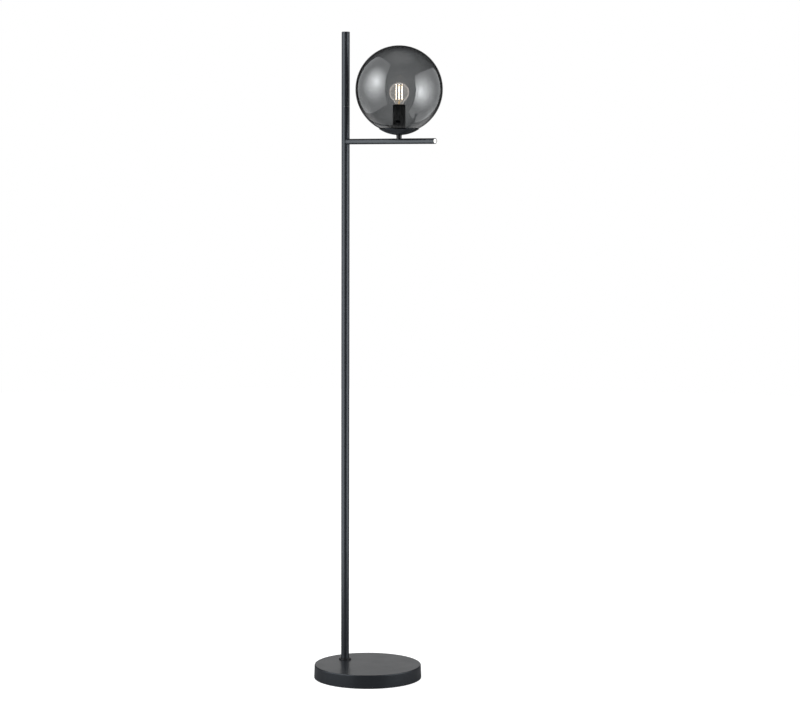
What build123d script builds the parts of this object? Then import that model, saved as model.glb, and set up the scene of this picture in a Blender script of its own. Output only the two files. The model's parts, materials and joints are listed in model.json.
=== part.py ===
from build123d import *
from math import cos, hypot, radians, sin, sqrt
import os

# Globe floor lamp. A weighted round foot carries an off-centre pole, the pole a level arm, and the arm a
# shallow dish with a lampholder and a smoked-glass globe.
# Frame: millimetres, origin at the centre of the foot's underside on the floor, +Z up, arm along +X.

# ---- Driving dimensions ------------------------------------------------------------------------------------

# Foot
FOOT_D = 253.0  # cover, at the floor
FOOT_TAPER = 1.0  # the cover's wall leans in this far on its way up
FOOT_H = 32.0
COVER_T = 1.2
COVER_INNER_R = 0.8  # inside its top edge
COVER_LIFT = 0.8  # the cover's rim hangs this far above the floor
PAD_INSET = 7.0  # from the foot's edge
PAD_T = 2.5
WEIGHT_GAP = 1.8  # round the weight, under the cover's top edge
WEIGHT_T = 13.0
WEIGHT_RIM_W = 8.0
CHAMBER_L = 72.0  # wiring chamber under the weight
CHAMBER_W = 46.0
CHAMBER_H = 16.5
CHAMBER_WALL = 3.0
CHAMBER_FROM_POLE = 29.0  # its near end from the pole's axis
PLATE_LAP = 11.0  # the service plate laps this far over the chamber and the nut's pocket
PLATE_T = 1.5
PLATE_CORNER_R = 6.0
PLATE_SCREW_L = 8.0
NUT_POCKET_D = 30.0

# Mains inlet bush at the back of the foot
INLET_BORE_D = 6.8
INLET_BODY_D = 9.6
INLET_FLANGE_D = 13.0
INLET_FLANGE_T = 1.8
INLET_L = 8.0
INLET_Z = 8.5
INLET_ROOM = 0.7  # round its body in the weight

# Pole
POLE_D = 19.0
POLE_T = 1.2
POLE_INSET = 51.5  # axis from the foot's edge: the pole stands behind the middle of the foot
LAMP_H = 1515.0
JOINT_OVER_ARM = 81.5  # hairline joint of the pole above the arm's axis
JOINT_GAP = 0.2
JOINT_STUD_L = 50.0
CAP_H = 4.0
CAP_EDGE_R = 1.6
PLUG_L = 8.0  # spigots of the caps in tube ends
COLLAR_W = 4.75
COLLAR_H = 3.6
COLLAR_DISH = 0.8  # hollow in the collar's top
FOOT_PLUG_L = 26.0

# Arm
ARM_D = 13.0
ARM_T = 1.0
ARM_UNDER_TOP = 255.0  # its axis below the top of the pole
ARM_REACH = 282.5  # from the pole's axis to the end of the arm
ARM_HEAD_T = 1.0  # polished head of the end plug
ARM_HEAD_R = 0.4

# Hollow threaded tubes, washers and nuts, all M10 x 1
NIPPLE_D = 10.0
NIPPLE_BORE = 7.2
NUT_WALL = 2.0
FOOT_NUT_H = 3.5
FOOT_WASHER_W = 7.0
FOOT_WASHER_T = 1.5
DISH_NUT_H = 2.4
DISH_WASHER_W = 2.2
DISH_WASHER_T = 1.0

# Neck and dish
GLOBE_REACH = 171.0  # from the pole's axis to that of globe, dish, lampholder and bulb
NECK_H = 7.8  # from the top of the arm to the dish
NECK_WALL = 0.9  # round the thread, at its waist
NECK_TOP_FLARE = 0.6
NECK_FOOT_FLARE = 0.3
NECK_SADDLE = 3.0  # the neck's foot reaches this far down the arm's sides
NECK_THREAD_L = 6.0
DISH_T = 0.8
DISH_H = 14.0
DISH_OVER_MOUTH = 5.3  # its rim lies this far outside the globe's mouth
DISH_FLAT = 0.75  # flat floor beyond the hub of the leaf springs

# Globe
GLOBE_D = 200.0
GLASS_T = 2.5
MOUTH_D = 83.0
MOUTH_OVER_DISH = 12.7  # edge of the glass above the dish's underside
MOUTH_R = 0.5  # ground edges of the mouth
SEAT_IN = 5.0  # soft ring under the glass edge, from the mouth inwards
SEAT_W = 4.6

# Leaf springs that hold the globe by its mouth
SPRING_T = 0.5
SPRING_W = 8.0
SPRING_HUB_RIM = 0.55  # round the washer that clamps it
SPRING_ANGLES = (51.0, 171.0, 291.0)
SPRING_KNEE_Z = 2.6  # where a leaf bends outwards, over the edge of the glass
SPRING_TIP_Z = 10.3
SPRING_TIP_OUT = 3.5  # beyond the mouth
SPRING_BEND_R = 1.8

# Lampholder
HOLDER_D = 29.0
HOLDER_H = 65.0
HOLDER_SEAM = 43.5  # top of the lower body
HOLDER_T = 1.7
HOLDER_FLOOR_T = 3.0
HOLDER_BOSS_WALL = 3.0
HOLDER_BOSS_H = 9.5
HOLDER_MOUTH_D = 20.6
HOLDER_TOP_R = 3.4
HOLDER_SPIGOT_L = 5.5
HOLDER_SPIGOT_T = 1.4
WINDOW_W = 10.5
WINDOW_H = 5.9
WINDOW_Z = 26.5  # middle of the latch windows over the lampholder's bottom
WINDOW_ANGLE = -58.0
CORE_FLANGE_H = 8.0
CORE_DROP = 0.5  # middle of that flange under the middle of the windows
CORE_TUBE_T = 1.5
CORE_UNDER_TOP = 5.5
SHELL_T = 0.4  # brass screw shell
SHELL_LIFT = 3.5  # over the insulator's floor
SHELL_LIP = 0.9
CONTACT_H = 6.5  # tip of the bulb over the insulator's floor
POST_OFFSET = 5.0  # wire terminals either side of the axis
POST_W = 4.0
POST_H = 6.0

# Bulb
BULB_D = 45.0
BULB_GLASS_T = 0.8
BULB_SHOULDER_Z = 12.4  # where neck and ball meet, over the cap
BULB_SHOULDER_ANGLE = 38.0
BULB_NECK_STEP = 0.9  # the neck's radius over the cap's
BULB_TAIL_L = 7.0  # of the glass in the cap
BULB_CAP_D = 13.8
BULB_CAP_PLAY = 0.3  # in the screw shell
BULB_CAP_T = 0.3
BULB_CAP_DRAW = 1.6  # drawn in at its lower end
BULB_CAP_L = 25.4
BULB_TIP_D = 4.0
BULB_TIP_H = 1.2
BULB_INSULATOR_H = 2.7
FILAMENT_L = 30.0
FILAMENT_D = 1.7
FILAMENT_RING_D = 13.2
FILAMENT_Z = -16.0  # lower ends, from the bulb's centre
FILAMENT_COUNT = 4
FILAMENT_ANGLE = 44.0
WIRE_D = 0.6

# Wiring
LEAD_D = 4.5
LEAD_BESIDE_BLOCK = 6.5  # the lead ends beside the terminal block
LEAD_CLAMP_Y = 4.0
LEAD_OVER_PLATE = 5.9  # its axis in the clamp
LEAD_ROOM = 0.75  # beside it in its groove
LEAD_ROOM_OVER = 1.35
CORE_D = 1.6
CLAMP_IN = 8.0  # strain relief, from the near end of the chamber
CLAMP_W = 8.0
CLAMP_SPAN = 30.0
CLAMP_T = 2.6
CLAMP_SCREW_Y = 11.0
BLOCK_PITCH = 9.5
BLOCK_POLES = 3
BLOCK_W = 17.0
BLOCK_H = 12.0
BLOCK_FROM_END = 20.0  # its middle from the far end of the chamber
BLOCK_BASE_Z = 7.0  # underside of its mounting ear over its lowest face
BLOCK_EAR_L = 6.5
SCREW_SPREAD = 4.2  # clamping screws either side of the block's middle
TUBE_D = 5.0
TUBE_BORE = 3.2
TUBE_OVER_BLOCK = 4.0  # axis of the wire ways over the block's lowest face
BARREL_WALL = 1.3  # moulding round a brass tube
TOWER_WALL = 1.1  # and round a clamping screw
EARTH_FROM_END = 5.0
EARTH_FROM_SIDE = 6.5
TAG_R = 4.0  # ring terminal
TAG_T = 0.8
TAG_REACH = 11.0  # end of its crimped barrel from the screw's axis
M3_D = 3.0
M4_D = 4.0
THREAD_ROOF = 0.8  # left above a blind hole in the chamber's ceiling

# Clearances
FIT = 0.05  # radial, pressed, screwed and welded pieces
PLAY = 0.3  # beside pieces that move or lie loose

# ---- Heights and radii that follow -------------------------------------------------------------------------

foot_r = FOOT_D / 2
foot_top_r = foot_r - FOOT_TAPER
pad_r = foot_r - PAD_INSET
weight_r = foot_top_r - COVER_T - WEIGHT_GAP
pole_x = POLE_INSET - foot_r
globe_x = pole_x + GLOBE_REACH
arm_z = LAMP_H - ARM_UNDER_TOP
arm_end = pole_x + ARM_REACH
chamber_x0 = pole_x + CHAMBER_FROM_POLE
chamber_x1 = chamber_x0 + CHAMBER_L
plate_x0 = pole_x - NUT_POCKET_D / 2 - PLATE_LAP
plate_x1 = chamber_x1 + PLATE_LAP
plate_w = CHAMBER_W + 2 * PLATE_LAP
weight_z = PAD_T
slab_top = PAD_T + WEIGHT_T
chamber_z = weight_z + CHAMBER_H
cover_under = FOOT_H - COVER_T
plate_top = weight_z + PLATE_T
nut_seat = chamber_z
pole_r = POLE_D / 2
pole_bore_r = pole_r - POLE_T
arm_r = ARM_D / 2
arm_bore_r = arm_r - ARM_T
collar_r = pole_r + COLLAR_W
thread_r = NIPPLE_D / 2
nut_af = NIPPLE_D + 2 * NUT_WALL
joint_z = arm_z + JOINT_OVER_ARM
waist_r = thread_r + NECK_WALL
dish_z = arm_z + arm_r + NECK_H
dish_floor = dish_z + DISH_T
dish_rim = dish_z + DISH_H
washer_r = thread_r + DISH_WASHER_W
hub_r = washer_r + SPRING_HUB_RIM
flat_r = hub_r + DISH_FLAT
mouth_r = MOUTH_D / 2
dish_rim_r = mouth_r + DISH_OVER_MOUTH
dish_depth = (dish_rim_r**2 - flat_r**2 + DISH_H**2) / (2 * DISH_H)  # its sphere's centre over its floor
dish_r = hypot(dish_depth, flat_r)
dish_centre = dish_z + dish_depth
dish_in_r = dish_r - DISH_T
globe_r = GLOBE_D / 2
globe_in_r = globe_r - GLASS_T
mouth_z = dish_z + MOUTH_OVER_DISH
globe_z = mouth_z + sqrt(globe_r**2 - mouth_r**2)
mouth_in_r = sqrt(globe_in_r**2 - (globe_z - mouth_z) ** 2)
leaf_r = sqrt((mouth_in_r - PLAY) ** 2 - (SPRING_W / 2) ** 2) - SPRING_T / 2
holder_z = dish_floor + SPRING_T + DISH_WASHER_T + DISH_NUT_H
holder_top = holder_z + HOLDER_H
holder_in_r = HOLDER_D / 2 - HOLDER_T
cap_r = BULB_CAP_D / 2
shell_in_r = cap_r + BULB_CAP_PLAY
shell_r = shell_in_r + SHELL_T
core_bore_r = shell_r + FIT
core_z = holder_z + WINDOW_Z - CORE_DROP - CORE_FLANGE_H / 2
core_floor = core_z + CORE_FLANGE_H
core_top = holder_top - CORE_UNDER_TOP
bulb_tip = core_floor + CONTACT_H
cap_z = bulb_tip + BULB_TIP_H + BULB_INSULATOR_H
cap_top = bulb_tip + BULB_CAP_L
bulb_z = cap_top + BULB_SHOULDER_Z + BULB_D / 2 * cos(radians(BULB_SHOULDER_ANGLE))
filament_z = bulb_z + FILAMENT_Z
inlet_x = -foot_r - INLET_FLANGE_T
clamp_x = chamber_x0 + CLAMP_IN
block_x = chamber_x1 - BLOCK_FROM_END
earth_x = chamber_x1 - EARTH_FROM_END
earth_y = EARTH_FROM_SIDE - CHAMBER_W / 2
lead_y = BLOCK_W / 2 + LEAD_BESIDE_BLOCK
lead_clamp_z = plate_top + LEAD_OVER_PLATE
block_z = chamber_z - BLOCK_H
tube_z = block_z + TUBE_OVER_BLOCK
post_z = core_z - POST_H
core_pitch = CORE_D + PLAY  # between the cores of the lead
block_half = BLOCK_PITCH * BLOCK_POLES / 2
block_ear_x = block_x - block_half - BLOCK_EAR_L / 2
tag_z = chamber_z - FIT - TAG_T
barrel_z = tag_z - TAG_T
lead_end_x = block_x - block_half - BLOCK_EAR_L
lead_end_z = holder_z + HOLDER_BOSS_H + 0.6
lead_floor_z = plate_top + LEAD_D / 2 + 1.5 * PLAY


# ---- Helpers -----------------------------------------------------------------------------------------------


def rod(radius, z0, z1, x=0.0, y=0.0):
    """An upright cylinder between two heights."""
    return Pos(x, y, (z0 + z1) / 2) * Cylinder(radius, z1 - z0)


def pipe(outer, inner, z0, z1, x=0.0, y=0.0):
    """An upright ring or tube between two heights."""
    return rod(outer, z0, z1, x, y) - rod(inner, z0 - 1, z1 + 1, x, y)


def lying(radius, x0, x1, z, y=0.0):
    """A cylinder along X."""
    return Pos((x0 + x1) / 2, y, z) * Rot(0, 90, 0) * Cylinder(radius, x1 - x0)


def block(x0, x1, y0, y1, z0, z1):
    """A box between two corners."""
    return Pos((x0 + x1) / 2, (y0 + y1) / 2, (z0 + z1) / 2) * Box(x1 - x0, y1 - y0, z1 - z0)


def turned(*outline, x=0.0):
    """A closed outline of (radius, height) points, turned about the upright axis at x."""
    face = make_face(Plane.XZ * Polyline(*outline, close=True))
    return Pos(x, 0, 0) * revolve(face, Axis.Z)


def edges_at(part, z):
    """The circular edges that lie level at height z."""
    return [e for e in part.edges().filter_by(GeomType.CIRCLE) if abs(e.center().Z - z) < 1e-4]


def hexagon(across_flats, bore, z0, z1, x=0.0):
    """A hexagon nut with lightly turned corners."""
    corner = across_flats / sqrt(3)
    body = Pos(x, 0, z0) * extrude(RegularPolygon(corner, 6), z1 - z0)
    lens = rod(corner - 0.25, z0, z1, x)
    return (body & chamfer(edges_at(lens, z1), 0.3)) - rod(bore, z0 - 1, z1 + 1, x)


def screw(radius, head_r, head_h, length, countersunk=False):
    """A screw that points up, with the underside of its head at the origin."""
    if countersunk:
        head = Pos(0, 0, head_h / 2) * Cone(head_r, radius, head_h)
        shank = rod(radius, head_h, length)
        slot = block(-head_r, head_r, -0.4, 0.4, -1, head_h * 0.5)
        return head + shank - slot
    head = fillet(edges_at(rod(head_r, -head_h, 0), -head_h), head_h * 0.4)
    slot = block(-head_r, head_r, -0.4, 0.4, -head_h - 1, -head_h * 0.5)
    return head + rod(radius, 0, length) - slot


def wire(diameter, points, radii):
    """A round wire along straight runs that meet in arcs."""
    path = FilletPolyline(*points, radius=radii)
    start = Plane(origin=path @ 0, z_dir=path % 0)
    return sweep(start * Circle(diameter / 2), path=path)


def around_globe(shape):
    """Move a shape from the origin's axis to the axis of the globe."""
    return Pos(globe_x, 0, 0) * shape


# ---- Foot --------------------------------------------------------------------------------------------------


def make_base_pad():
    return chamfer(edges_at(rod(pad_r, 0, PAD_T), 0), PAD_T / 5)


def make_base_cover():
    height = FOOT_H - COVER_LIFT
    outside = Pos(0, 0, COVER_LIFT + height / 2) * Cone(foot_r, foot_top_r, height)
    outside = fillet(edges_at(outside, FOOT_H), COVER_INNER_R + COVER_T)
    depth = height - COVER_T
    inside = Pos(0, 0, COVER_LIFT + depth / 2) * Cone(foot_r - COVER_T, foot_top_r - COVER_T, depth)
    inside = fillet(edges_at(inside, cover_under), COVER_INNER_R)
    pole_hole = rod(thread_r + PLAY, cover_under - 1, FOOT_H + 1, pole_x)
    inlet_hole = lying(INLET_BODY_D / 2 + FIT, inlet_x, inlet_x + 2 * INLET_L, INLET_Z)
    return outside - inside - pole_hole - inlet_hole


def plate_screw_places():
    """The four corners, in the middle of the plate's lap."""
    edge = PLATE_LAP / 2
    half = plate_w / 2 - edge
    return [(x, y) for x in (plate_x0 + edge, plate_x1 - edge) for y in (-half, half)]


def plate_slab(grow, z0, z1):
    outline = RectangleRounded(plate_x1 - plate_x0 + 2 * grow, plate_w + 2 * grow, PLATE_CORNER_R + grow)
    return Pos((plate_x0 + plate_x1) / 2, 0, z0) * extrude(outline, z1 - z0)


def chamber_screw_places():
    """Pan-head screws: two through the clamp bar, one through the terminal block's ear."""
    bar = lead_clamp_z - LEAD_D / 2 - FIT - CLAMP_T
    ear = (block_ear_x, 0, block_z + BLOCK_BASE_Z)
    return [(clamp_x, -CLAMP_SCREW_Y, bar), (clamp_x, CLAMP_SCREW_Y, bar), ear]


def make_base_weight():
    """Cast disc with a rim and a pole boss that carry the cover, and a chamber for the wiring below."""
    body = rod(weight_r, weight_z, slab_top)
    top = cover_under - FIT
    body += chamfer(edges_at(pipe(weight_r, weight_r - WEIGHT_RIM_W, slab_top - 1, top), top), 1.0)
    body += rod(NUT_POCKET_D / 2 + CHAMBER_WALL, slab_top - 1, top, pole_x)
    x0, x1, half_w, w = chamber_x0, chamber_x1, CHAMBER_W / 2, CHAMBER_WALL
    body += block(x0 - w, x1 + w, -half_w - w, half_w + w, slab_top - 1, chamber_z + w)
    body -= block(x0, x1, -half_w, half_w, 0, chamber_z)
    body -= rod(NUT_POCKET_D / 2, 0, nut_seat, pole_x)
    body -= rod(thread_r + PLAY, 0, FOOT_H, pole_x)
    groove = LEAD_CLAMP_Y + LEAD_D / 2 + LEAD_ROOM
    body -= block(pole_x, x0 + 1, -groove, groove, 0, lead_clamp_z + LEAD_D / 2 + LEAD_ROOM_OVER)
    groove = INLET_BODY_D / 2 + INLET_ROOM
    body -= block(-weight_r - 1, pole_x, -groove, groove, 0, INLET_Z + groove)
    body -= plate_slab(PLAY, 0, plate_top + FIT)
    pedestal_z = lead_clamp_z + LEAD_D / 2 + FIT
    cx, cw, cs = clamp_x, CLAMP_W / 2, CLAMP_SPAN / 2
    body += block(cx - cw, cx + cw, -cs, cs, pedestal_z, chamber_z + 0.5)
    for x, y in plate_screw_places():
        body -= rod(M3_D / 2 + FIT, 0, weight_z + PLATE_SCREW_L + 1, x, y)
    blind = chamber_z + w - THREAD_ROOF
    for x, y, z in chamber_screw_places():
        body -= rod(M3_D / 2 + FIT, z, blind, x, y)
    return body - rod(M4_D / 2 + FIT, chamber_z - 1, blind, earth_x, earth_y)


def make_service_plate():
    plate = plate_slab(0, weight_z, plate_top)
    for x, y in plate_screw_places():
        plate -= Pos(x, y, weight_z + PLATE_T / 2) * Cone(M3_D + FIT, M3_D / 2 + FIT, PLATE_T)
    return plate


def make_service_screws():
    one = screw(M3_D / 2, M3_D, PLATE_T, PLATE_SCREW_L, countersunk=True)
    return [Pos(x, y, weight_z) * one for x, y in plate_screw_places()]


def make_cord_inlet():
    """Bush with a flange outside the cover's wall."""
    body = lying(INLET_BODY_D / 2, inlet_x, inlet_x + INLET_L, INLET_Z)
    flange = lying(INLET_FLANGE_D / 2, inlet_x, inlet_x + INLET_FLANGE_T - FIT, INLET_Z)
    flange = fillet(flange.edges().sort_by(Axis.X)[0], 0.8)
    return body + flange - lying(INLET_BORE_D / 2, inlet_x - 1, inlet_x + INLET_L + 1, INLET_Z)


def make_cord_clamp():
    top = lead_clamp_z - LEAD_D / 2 - FIT
    cw, cs = CLAMP_W / 2, CLAMP_SPAN / 2
    bar = block(clamp_x - cw, clamp_x + cw, -cs, cs, top - CLAMP_T, top)
    bar = fillet(bar.edges().filter_by(Axis.Z), 2.0)
    for x, y, z in chamber_screw_places()[:2]:
        bar -= rod(M3_D / 2 + FIT, z - 1, z + CLAMP_T + 1, x, y)
    return bar


def make_chamber_screws():
    """Each ends 1 mm short of its blind hole."""
    tip = chamber_z + CHAMBER_WALL - THREAD_ROOF - 1
    return [Pos(x, y, z) * screw(M3_D / 2, 2.5, 0.8, tip - z) for x, y, z in chamber_screw_places()]


def pole_places():
    """The terminal block's wire ways, across the block."""
    first = block_x - BLOCK_PITCH * (BLOCK_POLES - 1) / 2
    return [first + n * BLOCK_PITCH for n in range(BLOCK_POLES)]


def make_terminal_block():
    x0, x1 = block_x - block_half, block_x + block_half
    low, top = block_z + BLOCK_BASE_Z, chamber_z - FIT
    body = block(x0, x1, -BLOCK_W / 2, BLOCK_W / 2, low, top)
    ear = block(x0 - BLOCK_EAR_L, x0, -BLOCK_W / 4, BLOCK_W / 4, low, top)
    body += fillet(ear.edges().filter_by(Axis.Z).sort_by(Axis.X)[:2], 2.0)
    for x in pole_places():
        body += Pos(x, 0, tube_z) * Rot(90, 0, 0) * Cylinder(TUBE_D / 2 + BARREL_WALL, BLOCK_W)
        for side in (-1, 1):
            body += rod(M3_D / 2 + TOWER_WALL, block_z, tube_z, x, side * SCREW_SPREAD)
    for x in pole_places():
        body -= Pos(x, 0, tube_z) * Rot(90, 0, 0) * Cylinder(TUBE_D / 2 + FIT, BLOCK_W + 2)
        for side in (-1, 1):
            body -= rod(M3_D / 2 + FIT, 0, tube_z, x, side * SCREW_SPREAD)
    x, y, z = chamber_screw_places()[2]
    return body - rod(M3_D / 2 + FIT, z - 1, chamber_z + 1, x, y)


def make_terminal_tubes():
    tubes = []
    for x in pole_places():
        lying_y = Pos(x, 0, tube_z) * Rot(90, 0, 0)
        tube = lying_y * (Cylinder(TUBE_D / 2, BLOCK_W - 2) - Cylinder(TUBE_BORE / 2, BLOCK_W))
        for side in (-1, 1):
            tube -= rod(M3_D / 2 + FIT, 0, tube_z, x, side * SCREW_SPREAD)
        tubes.append(tube)
    return tubes


def make_terminal_screws():
    tip = tube_z - CORE_D / 2 - PLAY
    screws = []
    for x in pole_places():
        for side in (-1, 1):
            y = side * SCREW_SPREAD
            slot = block(x - 2, x + 2, y - 0.3, y + 0.3, 0, block_z + 1.2)
            screws.append(rod(M3_D / 2, block_z + 0.4, tip, x, y) - slot)
    return screws


def make_earth_screw():
    length = CHAMBER_WALL - THREAD_ROOF + TAG_T
    return Pos(earth_x, earth_y, tag_z - FIT) * screw(M4_D / 2, 0.9 * TAG_R, 2.4, length)


def make_earth_tag():
    """Ring terminal with a crimped barrel towards the terminal block."""
    x, y = earth_x, earth_y
    barrel_r = CORE_D / 2 + 0.7
    tag = pipe(TAG_R, M4_D / 2 + FIT, tag_z, tag_z + TAG_T, x, y)
    tongue = block(x - TAG_REACH + 3.5, x - M4_D / 2 - 2 * FIT, y - 1.6, y + 1.6, tag_z, tag_z + TAG_T)
    barrel = lying(barrel_r, x - TAG_REACH, x - TAG_REACH + 5.0, barrel_z, y)
    hole = lying(CORE_D / 2 + FIT, x - TAG_REACH - 1, x - TAG_REACH + 4.0, barrel_z, y)
    return tag + tongue + barrel - hole


def make_earth_wire():
    """From the block's first pole round to the ring terminal."""
    x, y = pole_places()[0], earth_y
    end = earth_x - TAG_REACH + 3.6
    points = [(x, -BLOCK_W / 6, tube_z), (x, y + 4.5, tube_z), (x + 2.5, y, barrel_z), (end, y, barrel_z)]
    return wire(CORE_D, points, (2.0, 2.0))


# ---- Pole --------------------------------------------------------------------------------------------------


def make_foot_collar():
    """Low ring with a hollowed top round the foot of the pole."""
    z, top = FOOT_H, FOOT_H + COLLAR_H
    r0, r1 = pole_r + FIT, collar_r
    crest = r1 - 1.4
    ring = turned((r0, z), (r1, z), (r1, top - 1.2), (crest, top), (r0 + 1.2, top - COLLAR_DISH),
                  (r0, top - COLLAR_DISH), x=pole_x)
    return fillet([e for e in edges_at(ring, top) if e.radius > crest - 0.1], 0.7)


def make_pole_foot_plug():
    bottom = FOOT_H + FIT
    plug = rod(pole_bore_r - FIT, bottom, bottom + FOOT_PLUG_L, pole_x)
    plug -= rod(thread_r + FIT, bottom - 1, bottom + FOOT_PLUG_L * 0.6, pole_x)
    return plug - rod(NIPPLE_BORE / 2, bottom, bottom + FOOT_PLUG_L + 1, pole_x)


def make_foot_nipple():
    low = nut_seat - FOOT_WASHER_T - FOOT_NUT_H - 1.5
    return pipe(thread_r, NIPPLE_BORE / 2, low, FOOT_H + FOOT_PLUG_L * 0.55, pole_x)


def make_foot_washer():
    return pipe(thread_r + FOOT_WASHER_W, thread_r + FIT, nut_seat - FOOT_WASHER_T, nut_seat, pole_x)


def make_foot_nut():
    top = nut_seat - FOOT_WASHER_T
    return hexagon(nut_af, thread_r + FIT, top - FOOT_NUT_H, top, pole_x)


def make_pole_tube():
    tube = pipe(pole_r, pole_bore_r, FOOT_H, joint_z - JOINT_GAP / 2, pole_x)
    return tube - lying(arm_bore_r, pole_x, pole_x + pole_r + 1, arm_z)


def make_pole_joint_stud():
    half = JOINT_STUD_L / 2
    stud = pipe(pole_bore_r - FIT, NIPPLE_BORE / 2, joint_z - half, joint_z + half, pole_x)
    return chamfer([e for e in stud.edges().filter_by(GeomType.CIRCLE) if e.radius > NIPPLE_BORE], 0.8)


def make_pole_top_tube():
    return pipe(pole_r, pole_bore_r, joint_z + JOINT_GAP / 2, LAMP_H - CAP_H, pole_x)


def make_pole_top_cap():
    low = LAMP_H - CAP_H
    head = fillet(edges_at(rod(pole_r, low, LAMP_H, pole_x), LAMP_H), CAP_EDGE_R)
    return head + rod(pole_bore_r - FIT, low - PLUG_L, low, pole_x)


# ---- Arm and neck ------------------------------------------------------------------------------------------


def make_arm_tube():
    """Coped to the pole at one end, with a wire hole under the neck."""
    end = arm_end - ARM_HEAD_T
    tube = lying(arm_r, pole_x, end, arm_z) - lying(arm_bore_r, pole_x - 1, end + 1, arm_z)
    tube -= rod(pole_r + FIT, arm_z - ARM_D, arm_z + ARM_D, pole_x)
    return tube - rod(NIPPLE_BORE / 2, arm_z, arm_z + ARM_D, globe_x)


def make_arm_end_plug():
    shoulder = arm_end - ARM_HEAD_T
    head = lying(arm_r, shoulder, arm_end, arm_z)
    head = fillet(head.edges().sort_by(Axis.X)[-1], ARM_HEAD_R)
    return head + lying(arm_bore_r - FIT, shoulder - PLUG_L, shoulder, arm_z)


def make_neck():
    """Waisted neck, saddled on the arm, threaded from above for the hollow tube of the dish."""
    low, top = arm_z + arm_r - NECK_SADDLE, dish_z
    foot = (waist_r + NECK_FOOT_FLARE, low)
    waist = (waist_r, (arm_z + arm_r + top) / 2)
    head = (waist_r + NECK_TOP_FLARE, top)
    outline = Line((0, low), foot) + ThreePointArc(foot, waist, head) + Line(head, (0, top))
    half = Plane.XZ * make_face(outline + Line((0, top), (0, low)))
    neck = around_globe(revolve(half, Axis.Z))
    neck -= lying(arm_r + FIT, globe_x - ARM_D, globe_x + ARM_D, arm_z)
    neck -= rod(thread_r + FIT, top - NECK_THREAD_L, top + 1, globe_x)
    return neck - rod(NIPPLE_BORE / 2, low - 1, top, globe_x)


def make_neck_nipple():
    low, top = dish_z - NECK_THREAD_L + PLAY, holder_z + HOLDER_BOSS_H - 1
    return pipe(thread_r, NIPPLE_BORE / 2, low, top, globe_x)


# ---- Dish, springs and seat --------------------------------------------------------------------------------


def dish_surface(radius):
    """Height of the dish's inner face at a distance from the axis."""
    return dish_centre - sqrt(dish_in_r**2 - radius**2)


def make_dish():
    """Spun dish: a flat floor round the neck, then a spherical wall up to a turned rim."""
    ball = around_globe(Pos(0, 0, dish_centre) * (Sphere(dish_r) - Sphere(dish_in_r)))
    dish = ball & rod(dish_r, dish_z, dish_rim, globe_x)
    dish += rod(flat_r, dish_z, dish_floor, globe_x)
    dish -= rod(flat_r - DISH_T / 2, dish_floor, dish_rim, globe_x)
    dish -= rod(thread_r + PLAY, dish_z - 1, dish_rim, globe_x)
    return fillet(edges_at(dish, dish_rim), DISH_T * 0.35)


def make_dish_washer():
    low = dish_floor + SPRING_T
    return pipe(washer_r, thread_r + FIT, low, low + DISH_WASHER_T, globe_x)


def make_dish_nut():
    low = dish_floor + SPRING_T + DISH_WASHER_T
    return hexagon(nut_af, thread_r + FIT, low, low + DISH_NUT_H, globe_x)


def make_spring_spider():
    """A clamped hub with three leaves that rise inside the globe's mouth and lean out over its edge."""
    low = dish_floor + SPRING_T / 2
    heel = dish_surface(hypot(leaf_r, SPRING_W / 2)) + SPRING_T
    tip_r, tip_z = mouth_r + SPRING_TIP_OUT, mouth_z + SPRING_TIP_Z
    centre_line = FilletPolyline(
        (thread_r + PLAY + FIT, low),
        (hub_r, low),
        (leaf_r, heel),
        (leaf_r, mouth_z + SPRING_KNEE_Z),
        (tip_r, tip_z),
        (tip_r + 1.4, tip_z - 1.6),
        radius=(SPRING_BEND_R, SPRING_BEND_R, SPRING_BEND_R, 1.0),
    )
    strip = trace(centre_line, SPRING_T)
    leaf = Plane.XZ * extrude(strip, SPRING_W / 2, both=True)
    spider = pipe(hub_r, thread_r + PLAY, dish_floor, dish_floor + SPRING_T)
    for angle in SPRING_ANGLES:
        spider += Rot(0, 0, angle) * leaf
    return around_globe(spider - rod(thread_r + PLAY, dish_floor - 1, dish_floor + 2))


def make_seat_ring():
    """Soft wedge ring between the dish's wall and the ground edge of the glass."""
    top = mouth_z - PLAY
    r0 = mouth_r - SEAT_IN
    ring = pipe(r0 + SEAT_W, r0, dish_z, top, globe_x)
    return ring & around_globe(Pos(0, 0, dish_centre) * Sphere(dish_in_r - FIT))


# ---- Globe -------------------------------------------------------------------------------------------------


def make_glass_globe():
    ball = Sphere(globe_r) - Sphere(globe_in_r)
    drop = globe_z - mouth_z
    ball &= rod(GLOBE_D, -drop, GLOBE_D)
    ball = fillet(edges_at(ball, -drop), MOUTH_R)
    return around_globe(Pos(0, 0, globe_z) * ball)


# ---- Lampholder --------------------------------------------------------------------------------------------


def window_cutter(radius, width, height):
    """Two opposite blocks across the lampholder's wall at the latch windows."""
    z = holder_z + WINDOW_Z
    bar = block(-radius, radius, -width / 2, width / 2, z - height / 2, z + height / 2)
    return around_globe(Rot(0, 0, WINDOW_ANGLE) * bar)


def make_holder_base():
    """Lower body: a cup with a threaded boss in its floor and two latch windows."""
    seam = holder_z + HOLDER_SEAM
    cup = rod(HOLDER_D / 2, holder_z, seam, globe_x)
    cup = fillet(edges_at(cup, holder_z), 1.5)
    cup -= rod(holder_in_r, holder_z + HOLDER_FLOOR_T, seam + 1, globe_x)
    cup += rod(thread_r + HOLDER_BOSS_WALL, holder_z + HOLDER_FLOOR_T, holder_z + HOLDER_BOSS_H, globe_x)
    cup -= rod(thread_r + FIT, holder_z - 1, seam, globe_x)
    return cup - window_cutter(HOLDER_D, WINDOW_W, WINDOW_H)


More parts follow.
